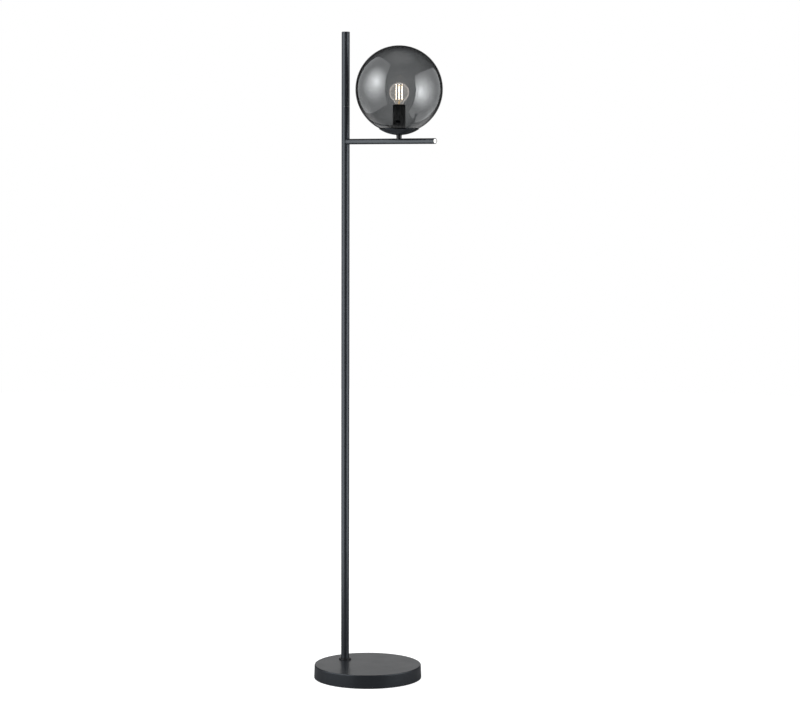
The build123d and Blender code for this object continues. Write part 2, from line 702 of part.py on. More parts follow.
def make_holder_shell():
    """Upper sleeve with a rounded mouth, plugged into the lower body."""
    seam = holder_z + HOLDER_SEAM + JOINT_GAP
    shell = rod(HOLDER_D / 2, seam, holder_top, globe_x)
    shell = fillet(edges_at(shell, holder_top), HOLDER_TOP_R)
    hollow = rod(holder_in_r, seam - 1, holder_top - HOLDER_T, globe_x)
    shell -= fillet(edges_at(hollow, holder_top - HOLDER_T), HOLDER_TOP_R - HOLDER_T)
    spigot_r = holder_in_r - HOLDER_SPIGOT_T
    shell += pipe(holder_in_r + FIT, spigot_r, seam, seam + HOLDER_SPIGOT_T, globe_x)
    shell += pipe(holder_in_r - FIT, spigot_r, seam - HOLDER_SPIGOT_L, seam, globe_x)
    return shell - rod(HOLDER_MOUTH_D / 2, seam, holder_top + 1, globe_x)


def make_holder_core():
    """Insulator: a flange with latch tongues, and a tube that holds the screw shell."""
    flange_r = holder_in_r - PLAY
    tongue_r = holder_in_r + HOLDER_T / 3
    tube_r = core_bore_r + CORE_TUBE_T
    core = rod(flange_r, core_z, core_floor, globe_x) + rod(tube_r, core_floor, core_top, globe_x)
    tongues = window_cutter(tongue_r, WINDOW_W - 2 * PLAY, WINDOW_H - 2 * PLAY)
    core += tongues & pipe(tongue_r, flange_r - 1, core_z, core_floor, globe_x)
    core -= rod(core_bore_r, core_floor, holder_top, globe_x)
    for side in (-1, 1):
        core -= rod(CORE_D / 2 + FIT, core_z - 1, core_floor + 1, globe_x + side * POST_OFFSET)
    return core


def make_holder_contact_shell():
    """Its lip lies on the end of the insulator's tube."""
    top = core_top + FIT + SHELL_T
    shell = pipe(shell_r, shell_in_r, core_floor + SHELL_LIFT, top, globe_x)
    return shell + pipe(shell_r + SHELL_LIP, shell_in_r, top - SHELL_T, top, globe_x)


def make_holder_centre_contact():
    """Folded brass leaf on the insulator's floor, just under the bulb's tip."""
    low, top = core_floor + 0.25, bulb_tip - PLAY - 0.2
    line = FilletPolyline((-5.0, low), (3.0, low), (4.6, (low + top) / 2), (0.5, top), (-2.2, top),
                          radius=(1.0, 0.8, 1.0))
    leaf = Plane.XZ * extrude(trace(line, 0.4), 2.2, both=True)
    return around_globe(leaf)


def make_holder_terminals():
    """Two brass posts under the insulator's flange, bored for the wires."""
    posts = []
    half = POST_W / 2
    for side in (-1, 1):
        x = globe_x + side * POST_OFFSET
        post = block(x - half, x + half, -half, half, post_z, post_z + POST_H - FIT)
        posts.append(post - rod(CORE_D / 2 + FIT, post_z - 1, post_z + POST_H + 1, x))
    return posts


# ---- Bulb --------------------------------------------------------------------------------------------------


def envelope(inset):
    """The bulb's outline, a ball on a waisted neck, turned and drawn in by a wall thickness."""
    r = BULB_D / 2 - inset
    neck_r = cap_r + BULB_NECK_STEP - inset
    tail_r = cap_r - BULB_CAP_T - FIT - inset
    low = cap_top - BULB_TAIL_L - (1.0 if inset else 0.0)
    start = radians(BULB_SHOULDER_ANGLE)
    join = (r * sin(start), bulb_z - r * cos(start))
    side = ThreePointArc(join, (r, bulb_z), (0, bulb_z + r))
    lines = (
        Line((0, low), (tail_r, low))
        + Line((tail_r, low), (tail_r, cap_top + 0.3))
        + Line((tail_r, cap_top + 0.3), (neck_r, cap_top + 1.2))
        + Line((neck_r, cap_top + 1.2), (neck_r + 0.3, cap_top + 3.6))
        + Line((neck_r + 0.3, cap_top + 3.6), join)
        + side
        + Line((0, bulb_z + r), (0, low))
    )
    face = make_face(lines)
    corners = face.vertices()
    waist = [v for v in corners if abs(v.Y - cap_top - 3.6) < 1e-3]
    shoulder = [v for v in corners if abs(v.X - join[0]) < 1e-3 and abs(v.Y - join[1]) < 1e-3]
    face = fillet(waist + shoulder, 5.0)
    return around_globe(revolve(Plane.XZ * face, Axis.Z))


def make_bulb_glass():
    return envelope(0.0) - envelope(BULB_GLASS_T)


def make_bulb_cap():
    """Screw cap, drawn in at its lower end onto the insulator."""
    r, t, draw = cap_r, BULB_CAP_T, BULB_CAP_DRAW
    return turned((r - draw, cap_z), (r, cap_z + draw), (r, cap_top), (r - t, cap_top),
                  (r - t, cap_z + draw + 0.1), (r - draw, cap_z + 0.4), x=globe_x)


def make_bulb_cap_insulator():
    r = cap_r - BULB_CAP_DRAW
    low = bulb_tip + BULB_TIP_H
    body = Pos(globe_x, 0, (low + cap_z) / 2) * Cone(BULB_TIP_D / 2 + 0.3, r, cap_z - low)
    return body + rod(r - FIT, cap_z, cap_z + 2.0, globe_x)


def make_bulb_cap_tip():
    tip = rod(BULB_TIP_D / 2, bulb_tip, bulb_tip + BULB_TIP_H, globe_x)
    return fillet(edges_at(tip, bulb_tip), BULB_TIP_H * 0.7)


def make_bulb_driver():
    """Small board in the cap with two parts on it."""
    low = cap_z + 2.0 + PLAY
    board = block(globe_x - 4.6, globe_x + 4.6, -0.5, 0.5, low, low + 11.0)
    chip = block(globe_x - 2.5, globe_x + 2.5, -2.0, -0.5, low + 6.5, low + 10.0)
    reservoir = Pos(globe_x, 0.5 + 2.2, low + 5.0) * Cylinder(2.2, 7.0)
    return [board, chip, reservoir]


def make_bulb_stem():
    """Flared glass stem with a bead that holds the wires, and a rod up to the wire ring."""
    flare_z = cap_top - BULB_TAIL_L
    neck_in = cap_r - BULB_CAP_T - BULB_GLASS_T - 2 * FIT
    bead = filament_z - 5.0
    flare = turned((0, flare_z), (neck_in, flare_z), (neck_in, flare_z + 1.0), (2.4, flare_z + 5.0),
                   (1.5, bead - 3.0), (2.1, bead - 1.0), (2.1, bead), (1.2, bead + 1.2), (0.6, bead + 1.4),
                   (0.6, filament_z + FILAMENT_L + 1.0), (0, filament_z + FILAMENT_L + 1.0), x=globe_x)
    return flare


def filament_angles():
    return [FILAMENT_ANGLE + n * 360.0 / FILAMENT_COUNT for n in range(FILAMENT_COUNT)]


def make_bulb_filaments():
    ring = FILAMENT_RING_D / 2
    one = rod(FILAMENT_D / 2, filament_z, filament_z + FILAMENT_L, ring)
    one = fillet(edges_at(one, filament_z) + edges_at(one, filament_z + FILAMENT_L), 0.5)
    return [around_globe(Rot(0, 0, a) * one) for a in filament_angles()]


def make_bulb_wires():
    """Bent legs from the bead to each filament, and a ring with spokes over the filaments."""
    ring = FILAMENT_RING_D / 2
    bead = filament_z - 5.0
    wires = []
    for a in filament_angles():
        line = [(2.1 + FIT, 0, bead - 0.5), (ring, 0, bead + 1.5), (ring, 0, filament_z - FIT)]
        wires.append(around_globe(Rot(0, 0, a) * wire(WIRE_D, line, (1.2,))))
    top = filament_z + FILAMENT_L
    hoop = Pos(0, 0, top + WIRE_D) * Torus(ring, WIRE_D / 2)
    for a in filament_angles():
        spoke = Pos((ring + 0.6) / 2, 0, top + WIRE_D) * Rot(0, 90, 0) * Cylinder(WIRE_D / 2, ring - 0.6)
        post = rod(WIRE_D / 2, top + FIT, top + WIRE_D, ring)
        hoop += Rot(0, 0, a) * (spoke + post)
    hoop -= rod(0.6 + FIT, top - 1, top + 3)
    wires.append(around_globe(hoop))
    return wires


# ---- Wiring ------------------------------------------------------------------------------------------------


def make_inner_lead():
    """Sheathed lead: through the clamp, up the pole, along the arm and up into the lampholder."""
    past_clamp = clamp_x - CLAMP_W / 2 - 5.0
    points = [
        (lead_end_x, lead_y, tube_z),
        (lead_end_x - 6.0, lead_y, tube_z),
        (clamp_x + CLAMP_W / 2 + 3.0, LEAD_CLAMP_Y, lead_clamp_z),
        (past_clamp, LEAD_CLAMP_Y, lead_clamp_z),
        ((past_clamp + pole_x) / 2, 0.0, lead_floor_z),
        (pole_x, 0.0, lead_floor_z),
        (pole_x, 0.0, arm_z),
        (globe_x, 0.0, arm_z),
        (globe_x, 0.0, lead_end_z),
    ]
    return wire(LEAD_D, points, (6.0, 6.0, 12.0, 10.0, 7.5, 8.0, 8.0))


def make_lead_cores():
    """The lead's two cores, from each end of its sheath to the terminals."""
    cores = []
    for x, side in zip(pole_places()[1:], (-1, 1)):
        y = lead_y + side * core_pitch / 2
        points = [(lead_end_x + FIT, y, tube_z), (x, y, tube_z), (x, BLOCK_W / 6, tube_z)]
        cores.append(wire(CORE_D, points, (3.0,)))
    start, end = lead_end_z + FIT, post_z + POST_H * 0.6
    for side in (-1, 1):
        near, far = globe_x + side * core_pitch / 2, globe_x + side * POST_OFFSET
        points = [(near, 0, start), (near, 0, start + CORE_D), (far, 0, post_z - 1.4), (far, 0, end)]
        cores.append(wire(CORE_D, points, (1.2, 1.2)))
    return cores


# ---- Assembly ----------------------------------------------------------------------------------------------

NODES = {
    "base_pad": make_base_pad,
    "base_cover": make_base_cover,
    "base_weight": make_base_weight,
    "service_plate": make_service_plate,
    "service_screws": make_service_screws,
    "cord_inlet": make_cord_inlet,
    "cord_clamp": make_cord_clamp,
    "chamber_screws": make_chamber_screws,
    "terminal_block": make_terminal_block,
    "terminal_tubes": make_terminal_tubes,
    "terminal_screws": make_terminal_screws,
    "earth_screw": make_earth_screw,
    "earth_tag": make_earth_tag,
    "earth_wire": make_earth_wire,
    "foot_collar": make_foot_collar,
    "pole_foot_plug": make_pole_foot_plug,
    "foot_nipple": make_foot_nipple,
    "foot_washer": make_foot_washer,
    "foot_nut": make_foot_nut,
    "pole_tube": make_pole_tube,
    "pole_joint_stud": make_pole_joint_stud,
    "pole_top_tube": make_pole_top_tube,
    "pole_top_cap": make_pole_top_cap,
    "arm_tube": make_arm_tube,
    "arm_end_plug": make_arm_end_plug,
    "neck": make_neck,
    "neck_nipple": make_neck_nipple,
    "dish": make_dish,
    "dish_washer": make_dish_washer,
    "dish_nut": make_dish_nut,
    "spring_spider": make_spring_spider,
    "seat_ring": make_seat_ring,
    "glass_globe": make_glass_globe,
    "holder_base": make_holder_base,
    "holder_shell": make_holder_shell,
    "holder_core": make_holder_core,
    "holder_contact_shell": make_holder_contact_shell,
    "holder_centre_contact": make_holder_centre_contact,
    "holder_terminals": make_holder_terminals,
    "bulb_glass": make_bulb_glass,
    "bulb_cap": make_bulb_cap,
    "bulb_cap_insulator": make_bulb_cap_insulator,
    "bulb_cap_tip": make_bulb_cap_tip,
    "bulb_driver": make_bulb_driver,
    "bulb_stem": make_bulb_stem,
    "bulb_filaments": make_bulb_filaments,
    "bulb_wires": make_bulb_wires,
    "inner_lead": make_inner_lead,
    "lead_cores": make_lead_cores,
}

os.makedirs("parts", exist_ok=True)
for name, make in NODES.items():
    made = make()
    pieces = made if isinstance(made, list) else [made]
    solids = [solid for piece in pieces for solid in piece.solids()]
    export_step(Compound(solids) if len(solids) > 1 else solids[0], f"parts/{name}.step")
    print(f"{name}: {len(solids)} solid(s), {sum(solid.volume for solid in solids) / 1000:.2f} cm3")
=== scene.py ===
# %% [markdown]
# # A globe floor lamp, dressed in Blender
# The lamp comes from the CAD tool as separate solids in metres. It is loaded first and never moved, so that all that is
# made here has a fixed frame to sit in. Its size is kept.

# %% Load the frame
import json
from math import atan2, cos, pi, radians, sin, sqrt, tan
import bmesh
import bpy
from mathutils import Matrix, Vector


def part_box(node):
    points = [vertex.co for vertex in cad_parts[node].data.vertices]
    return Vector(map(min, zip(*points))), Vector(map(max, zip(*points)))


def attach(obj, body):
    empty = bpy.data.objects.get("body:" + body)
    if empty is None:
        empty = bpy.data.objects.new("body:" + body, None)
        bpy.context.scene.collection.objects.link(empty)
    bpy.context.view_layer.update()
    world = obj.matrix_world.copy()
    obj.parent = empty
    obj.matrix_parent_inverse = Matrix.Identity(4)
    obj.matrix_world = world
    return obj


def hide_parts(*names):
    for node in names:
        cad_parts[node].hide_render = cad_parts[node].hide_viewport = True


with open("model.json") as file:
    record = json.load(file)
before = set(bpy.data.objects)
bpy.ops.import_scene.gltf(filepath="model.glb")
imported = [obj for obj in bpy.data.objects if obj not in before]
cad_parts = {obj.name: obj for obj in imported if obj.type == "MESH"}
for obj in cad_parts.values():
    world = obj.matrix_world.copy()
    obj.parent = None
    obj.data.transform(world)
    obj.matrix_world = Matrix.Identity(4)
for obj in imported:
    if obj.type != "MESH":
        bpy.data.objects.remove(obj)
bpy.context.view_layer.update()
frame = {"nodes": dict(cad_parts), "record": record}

nodes = frame["nodes"]

# %% [markdown]
# ## Measures of the CAD model
# A workshop drawing is in millimetres and Blender works in metres. One helper reads a node's box and gives the
# numbers that a turned piece needs: where its axis stands, how wide it is, and its lowest and highest point.

# %% Read a node's box in millimetres
MM = 0.001


def measure(node):
    """A node's middle in x, half width in x, lowest and highest z, all in millimetres."""
    low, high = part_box(node)
    return (low.x + high.x) / 2 / MM, (high.x - low.x) / 2 / MM, low.z / MM, high.z / MM


foot_r, foot_low, foot_top = measure("base_cover")[1:]
pole_x, pole_r, pole_low, seam_low = measure("pole_tube")
globe_x, globe_r, mouth_z, globe_top = measure("glass_globe")
arm_low, arm_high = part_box("arm_tube")
arm_r = (arm_high.z - arm_low.z) / 2 / MM
arm_z = (arm_high.z + arm_low.z) / 2 / MM
arm_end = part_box("arm_end_plug")[1].x / MM
print(f"foot {2 * foot_r:.1f} wide, pole at x {pole_x:.1f}, globe at x {globe_x:.1f}, arm at z {arm_z:.1f}")

# %% [markdown]
# ## Camera
# The photograph was taken from a little under the height of the arm, with a long lens, so upright edges stay
# upright. The camera's place and angles were worked out from edges whose height is known. Its matrix is built
# from three directions: right, up and back.

# %% Camera at the photograph's viewing angle
VIEW_AZIMUTH, CAMERA_AWAY, CAMERA_HEIGHT = 0.7646818, 5.300, 1.20235
LOOK_DOWN, LOOK_ASIDE, ROLL = 0.0847307, 0.0139058, 0.0019364
to_camera = Vector((sin(VIEW_AZIMUTH), -cos(VIEW_AZIMUTH), 0))
to_right = Vector((cos(VIEW_AZIMUTH), sin(VIEW_AZIMUTH), 0))
upright = Vector((0, 0, 1))

ahead = -to_camera * cos(LOOK_DOWN) - upright * sin(LOOK_DOWN)
above = upright * cos(LOOK_DOWN) - to_camera * sin(LOOK_DOWN)
beside = to_right * cos(LOOK_ASIDE) - ahead * sin(LOOK_ASIDE)
ahead = ahead * cos(LOOK_ASIDE) + to_right * sin(LOOK_ASIDE)
beside, above = beside * cos(ROLL) + above * sin(ROLL), above * cos(ROLL) - beside * sin(ROLL)
place = to_camera * CAMERA_AWAY + upright * CAMERA_HEIGHT

lens = bpy.data.cameras.new("photo_camera")
lens.lens, lens.sensor_width = 102.49, 36.0
camera = bpy.data.objects.new("photo_camera", lens)
camera.matrix_world = Matrix((
    (beside.x, above.x, -ahead.x, place.x),
    (beside.y, above.y, -ahead.y, place.y),
    (beside.z, above.z, -ahead.z, place.z),
    (0, 0, 0, 1),
))
bpy.context.scene.collection.objects.link(camera)
bpy.context.scene.camera = camera
bpy.context.scene.view_settings.view_transform = "Standard"
print("camera stands at", [round(n, 3) for n in place])

# %% [markdown]
# ## A few words for building shader nodes
# Materials, light and floor are all node trees. A few helpers keep them short: `put` sets a number or makes a
# link, `add` places a node with its sockets filled in, and `maths` and `vectors` do the same for the nodes that
# take two numbers or two vectors, whose sockets share one name.

# %% Helpers for node trees


def put(tree, value, socket):
    """Link another socket to this one, or set a plain value on it."""
    if isinstance(value, bpy.types.NodeSocket):
        tree.links.new(value, socket)
    else:
        socket.default_value = value


def add(tree, kind, settings=None, **values):
    """A shader node of this kind; an underscore in a socket's name stands for a space."""
    made = tree.nodes.new("ShaderNode" + kind)
    for name, value in (settings or {}).items():
        setattr(made, name, value)
    for name, value in values.items():
        put(tree, value, made.inputs[name.replace("_", " ")])
    return made


def maths(tree, operation, first, second=0.0):
    """The result of a Math node on two values, kept between 0 and 1."""
    made = add(tree, "Math", {"operation": operation, "use_clamp": True})
    put(tree, first, made.inputs[0])
    put(tree, second, made.inputs[1])
    return made.outputs[0]


def vectors(tree, operation, first, second=(0, 0, 0)):
    """The number that a Vector Math node makes of two vectors."""
    made = add(tree, "VectorMath", {"operation": operation})
    put(tree, first, made.inputs[0])
    put(tree, second, made.inputs[1])
    return made.outputs["Value"]


def ramp(tree, value, low, high, to_low=0.0, to_high=1.0):
    """The value from low to high, spread from to_low to to_high."""
    made = add(tree, "MapRange", Value=value, From_Min=low, From_Max=high, To_Min=to_low, To_Max=to_high)
    return made.outputs[0]


def mixed(tree, factor, first, second):
    """Two colours mixed by a factor."""
    made = add(tree, "Mix", {"data_type": "RGBA"})
    put(tree, factor, made.inputs[0])
    put(tree, first, made.inputs[6])
    put(tree, second, made.inputs[7])
    return made.outputs[2]


print("node helpers ready")

# %% [markdown]
# ## Studio light
# The two bright bands on the pole and the two bent windows in the globe come from large soft boxes on both sides
# of the lamp, nearer to the camera than to the wall. Their size and place were read from those reflections. The
# room behind the camera is dark, which keeps the middle of the pole dark, and in reflections the white backdrop is
# only as wide as a paper sweep. To the eye, also through glass, all the background is white.

# %% World: a white backdrop in a dark room
WORLD_LIGHT, DARK_ROOM, SWEEP_LIGHT, CEILING = 0.22, 0.02, 0.92, 0.6
SWEEP_EDGE, SWEEP_END = cos(radians(2)), cos(radians(22))


def seen_straight(tree, path):
    """1 for what the eye sees directly or through glass, 0 for what reaches it off another surface."""
    eye = maths(tree, "MAXIMUM", path.outputs["Is Camera Ray"], path.outputs["Is Transmission Ray"])
    bounced = maths(tree, "ADD", path.outputs["Glossy Depth"], path.outputs["Diffuse Depth"])
    return maths(tree, "SUBTRACT", eye, bounced)


world = bpy.data.worlds.new("studio")
bpy.context.scene.world = world
world.use_nodes = True
sky = world.node_tree
path = add(sky, "LightPath")
direction = add(sky, "TexCoord").outputs["Generated"]
behind = vectors(sky, "DOT_PRODUCT", direction, -to_camera)
sweep = ramp(sky, behind, SWEEP_END, SWEEP_EDGE, DARK_ROOM, SWEEP_LIGHT)
ceiling = ramp(sky, add(sky, "SeparateXYZ", Vector=direction).outputs["Z"], 0.85, 1.0, 0.0, CEILING)
in_gloss = add(sky, "Mix", Factor=maths(sky, "MAXIMUM", path.outputs["Is Glossy Ray"], path.outputs["Glossy Depth"]))
put(sky, WORLD_LIGHT, in_gloss.inputs[2])
put(sky, maths(sky, "ADD", sweep, ceiling), in_gloss.inputs[3])
to_eye = add(sky, "Mix", Factor=seen_straight(sky, path))
put(sky, in_gloss.outputs[0], to_eye.inputs[2])
to_eye.inputs[3].default_value = 1.0
backdrop = sky.nodes["Background"]
backdrop.inputs["Color"].default_value = (1, 1, 1, 1)
put(sky, to_eye.outputs[0], backdrop.inputs["Strength"])
print("world light", WORLD_LIGHT)

# %% [markdown]
# A soft box is a cloth with a lamp behind it. Rough paint only shows how much light comes from it, so for paint
# it is even. The globe is a mirror and shows the cloth itself, bright in front of the lamp and dim towards its
# hems. So there are two boxes on each side, and light linking gives the even one to everything but the globe and
# the one with the bright spot to the globe. A box is given by its two upright edges, as a direction from the
# camera's side and a distance, and by the direction, height and radius of its bright spot, all from the globe.

# %% Soft boxes
EVEN, HEM, SPOT = 2.2, 0.95, 12.4
globe_axis = Vector((globe_x * MM, 0, 0))
lit_by_cloth = bpy.data.collections.new("lit_by_cloth")
not_lit_evenly = bpy.data.collections.new("not_lit_evenly")


def towards(azimuth):
    """The level direction at this azimuth from the camera, in degrees, positive to the right."""
    return to_camera * cos(radians(azimuth)) + to_right * sin(radians(azimuth))


def softbox(name, near, far, low, high, spot=None):
    """An area light between two edges (azimuth, distance), even or with a bright spot (azimuth, height, radius)."""
    one, two = globe_axis + towards(near[0]) * near[1], globe_axis + towards(far[0]) * far[1]
    outwards = (two - one).cross(upright).normalized()
    outwards *= 1 if outwards.dot(one - globe_axis) > 0 else -1
    light = bpy.data.lights.new(name, "AREA")
    light.shape, light.size, light.size_y = "RECTANGLE", (two - one).length, high - low
    light.energy = 4 * EVEN * light.size * light.size_y
    light.color = (0.96, 0.985, 1.0)
    box = bpy.data.objects.new(name, light)
    box.location = (one + two) / 2 + upright * (low + high) / 2
    box.rotation_euler = outwards.to_track_quat("Z", "Y").to_euler()
    box.visible_camera = box.visible_transmission = False
    box.light_linking.receiver_collection = lit_by_cloth if spot else not_lit_evenly
    bpy.context.scene.collection.objects.link(box)
    print(name, f"{light.size:.2f} x {light.size_y:.2f} m")
    if spot:
        azimuth, height, radius = spot
        away = outwards.dot(one - globe_axis) / outwards.dot(towards(azimuth))
        hot = globe_axis + towards(azimuth) * away + upright * height
        light.use_nodes = True
        cloth = light.node_tree
        off = vectors(cloth, "DISTANCE", add(cloth, "NewGeometry").outputs["Position"], hot)
        near_spot = ramp(cloth, off, 0.0, radius, 1.0, 0.0)
        strength = ramp(cloth, maths(cloth, "POWER", near_spot, 2.2), 0.0, 1.0, HEM / EVEN, SPOT / EVEN)
        put(cloth, strength, cloth.nodes["Emission"].inputs["Strength"])


softbox("left_even", (-37, 1.0), (-105, 1.4), 0.02, 3.1)
softbox("right_even", (40, 1.3), (102, 1.3), 0.02, 2.1)
softbox("left_cloth", (-36.5, 1.25), (-138, 2.0), 0.45, 3.45, (-62, 1.66, 1.05))
softbox("right_cloth", (41, 0.85), (133, 0.98), 0.02, 1.84, (54, 1.30, 0.72))

# %% [markdown]
# ## Floor
# The lamp stands on a pale floor that runs out of sight like a paper sweep. To the camera it is lifted to white with a
# little emission, so that the paper looks white without more light on the lamp; the rest of its brightness is real
# light, and so the soft shadow under the foot stays. In reflections the floor near the lamp is painted dark, with a
# darker colour that only reflected rays see, as the photograph shows it on the dish. Only the polished glass mirrors a
# painted pale band that starts a metre behind the lamp: it is an emission that only rays mirrored in glass see, not
# light falling on the paper. From below the paper is clear, so that the foot can be looked at, and it lies a hair under
# the foam pad.

# %% The paper floor
FLOOR_R, UNDER_PAD = 7.0, 0.2 * MM
sheet = bmesh.new()
bmesh.ops.create_circle(sheet, cap_ends=True, segments=96, radius=FLOOR_R)
floor_mesh = bpy.data.meshes.new("paper_floor")
sheet.to_mesh(floor_mesh)
sheet.free()
floor = bpy.data.objects.new("paper_floor", floor_mesh)
bpy.context.scene.collection.objects.link(floor)

paper = bpy.data.materials.new("white_paper")
paper.use_nodes = True
tree = paper.node_tree
tree.nodes.clear()
point = add(tree, "NewGeometry").outputs["Position"]
away = vectors(tree, "LENGTH", point)
lift = ramp(tree, away, 0.3, 0.9, 0.72, 1.0)
path = add(tree, "LightPath")
to_eye = maths(tree, "MULTIPLY", lift, seen_straight(tree, path))
# Painted reflection: a pale band behind the lamp that only rays mirrored in glass see.
back = ramp(tree, vectors(tree, "DOT_PRODUCT", point, -to_camera), 0.3, 1.2, 0.0, 0.68)
band = maths(tree, "MULTIPLY", back, ramp(tree, away, 2.2, 4.2, 1.0, 0.1))
in_glass = maths(tree, "MULTIPLY", path.outputs["Is Singular Ray"], path.outputs["Glossy Depth"])
band_painted_in_glass = maths(tree, "MULTIPLY", band, in_glass)
shine = add(tree, "Emission", Strength=maths(tree, "ADD", to_eye, band_painted_in_glass))
# Painted shade: reflected rays see the floor in a darker colour.
shade = mixed(tree, path.outputs["Is Glossy Ray"], (0.62, 0.62, 0.62, 1), (0.21, 0.21, 0.21, 1))
matt = add(tree, "BsdfDiffuse", Color=shade)
both = add(tree, "AddShader")
put(tree, shine.outputs[0], both.inputs[0])
put(tree, matt.outputs[0], both.inputs[1])
one_sided = add(tree, "MixShader")
put(tree, add(tree, "NewGeometry").outputs["Backfacing"], one_sided.inputs[0])
put(tree, both.outputs[0], one_sided.inputs[1])
put(tree, add(tree, "BsdfTransparent").outputs[0], one_sided.inputs[2])
put(tree, one_sided.outputs[0], add(tree, "OutputMaterial").inputs["Surface"])
floor_mesh.materials.append(paper)
floor.location.z = -UNDER_PAD
print("floor radius in metres:", FLOOR_R)

# %% [markdown]
# ## Effects that several finishes share
# Grain, worn edges, dust and hand marks are on paint, metal and plastic alike. Each is built once as a node group
# with named sockets, and every material places it with its own values. A group gives a mask, a height or a
# roughness; the shader that uses it stays in the material.

# %% An empty effect group


def effect(name, inputs, output):
    """A shader node group with these number inputs and one number output: its tree, input and output sockets."""
    group = bpy.data.node_groups.new(name, "ShaderNodeTree")
    for label, value in inputs.items():
        group.interface.new_socket(label, in_out="INPUT", socket_type="NodeSocketFloat").default_value = value
    group.interface.new_socket(output, in_out="OUTPUT", socket_type="NodeSocketFloat")
    return group, group.nodes.new("NodeGroupInput").outputs, group.nodes.new("NodeGroupOutput").inputs[output]


def place_effect(tree, name, **values):
    """The output of an effect group placed in a material."""
    made = tree.nodes.new("ShaderNodeGroup")
    made.node_tree = bpy.data.node_groups[name]
    for label, value in values.items():
        put(tree, value, made.inputs[label])
    return made.outputs[0]


def noise(tree, scale, detail=2.0, rough=0.5, stretch=None):
    """Cloudy noise between 0 and 1 in the object's own space; scale is per metre."""
    place = add(tree, "TexCoord").outputs["Object"]
    if stretch:
        place = add(tree, "Mapping", Vector=place, Scale=stretch).outputs[0]
    return add(tree, "TexNoise", Vector=place, Scale=scale, Detail=detail, Roughness=rough).outputs[0]


print("effect helpers ready")

# %% [markdown]
# Powder coat is sprayed as dust and baked: it flows into soft hills less than a millimetre apart, with finer
# pimples on them. A cloudy noise gives the hills and a cell pattern the pimples.

# %% Grain
group, given, out = effect("Grain", {"Scale": 1200.0}, "Height")
hills = noise(group, given["Scale"], 2.0, 0.45)
place = add(group, "TexCoord").outputs["Object"]
finer = add(group, "Math", {"operation": "MULTIPLY"})
put(group, given["Scale"], finer.inputs[0])
finer.inputs[1].default_value = 2.3
pimples = add(group, "TexVoronoi", {"feature": "SMOOTH_F1"}, Vector=place, Scale=finer.outputs[0])
low_pimples = maths(group, "MULTIPLY", pimples.outputs["Distance"], 0.35)
put(group, maths(group, "SUBTRACT", hills, low_pimples), out)
print("Grain")

# %% [markdown]
# Edges are where a lamp is knocked and wiped. The Bevel node looks a little way round each point and gives the
# direction a rounded edge would have; where that differs from the true direction, there is an edge. A patchy noise
# breaks the line up, so that the wear isn't even.

# %% Edge wear
group, given, out = effect("Edge wear", {"Width": 0.0008, "Amount": 0.5}, "Mask")
round_edge = add(group, "Bevel", {"samples": 4}, Radius=given["Width"])
same = vectors(group, "DOT_PRODUCT", round_edge.outputs[0], add(group, "NewGeometry").outputs["Normal"])
edge = ramp(group, same, 0.985, 0.80)
patches = ramp(group, noise(group, 170.0, 4.0, 0.6), 0.35, 0.65, 0.25, 1.0)
put(group, maths(group, "MULTIPLY", maths(group, "MULTIPLY", edge, patches), given["Amount"]), out)
print("Edge wear")

# %% [markdown]
# House dust lies on whatever faces up, in a thin uneven veil with a few larger specks.

# %% Dust
group, given, out = effect("Dust", {"Amount": 0.2}, "Mask")
parts = add(group, "SeparateXYZ")
put(group, add(group, "NewGeometry").outputs["Normal"], parts.inputs[0])
lies = ramp(group, parts.outputs["Z"], 0.55, 0.98)
veil = ramp(group, noise(group, 26.0, 5.0, 0.62), 0.3, 0.75, 0.25, 0.8)
specks = ramp(group, noise(group, 1500.0, 1.0), 0.70, 0.78)
put(group, maths(group, "MULTIPLY", maths(group, "MULTIPLY", lies, maths(group, "ADD", veil, specks)),
                 given["Amount"]), out)
print("Dust")

# %% [markdown]
# Hands leave soft, slightly greasy patches that change how sharp a reflection is and hardly change the colour, so
# this effect feeds roughness only.

# %% Hand marks
group, given, out = effect("Hand marks", {"Least": 0.3, "Most": 0.4}, "Roughness")
patch = noise(group, 34.0, 4.0, 0.6, stretch=(1.0, 1.0, 0.45))
put(group, ramp(group, patch, 0.36, 0.66, given["Least"], given["Most"]), out)
print("Hand marks")

# %% [markdown]
# Plated and rolled metal carries very fine lines from the wheel or the roll. Noise squeezed hard in one direction
# gives such lines.

# %% Fine lines
group, given, out = effect("Fine lines", {"Scale": 2500.0}, "Height")
put(group, noise(group, given["Scale"], 3.0, 0.6, stretch=(0.06, 0.06, 1.0)), out)
print("Fine lines")

# %% [markdown]
# ## One recipe for the opaque finishes
# Paint, plastic, rubber and metal share one layout: a clouded colour, lighter where edges are worn, a veil of
# dust, roughness from hand marks and relief from grain or fine lines. Only the numbers differ, and those say what
# the material is.

# %% The recipe


def tone(colour, amount=1.0):
    return tuple(min(1.0, channel * amount) for channel in colour) + (1.0,)


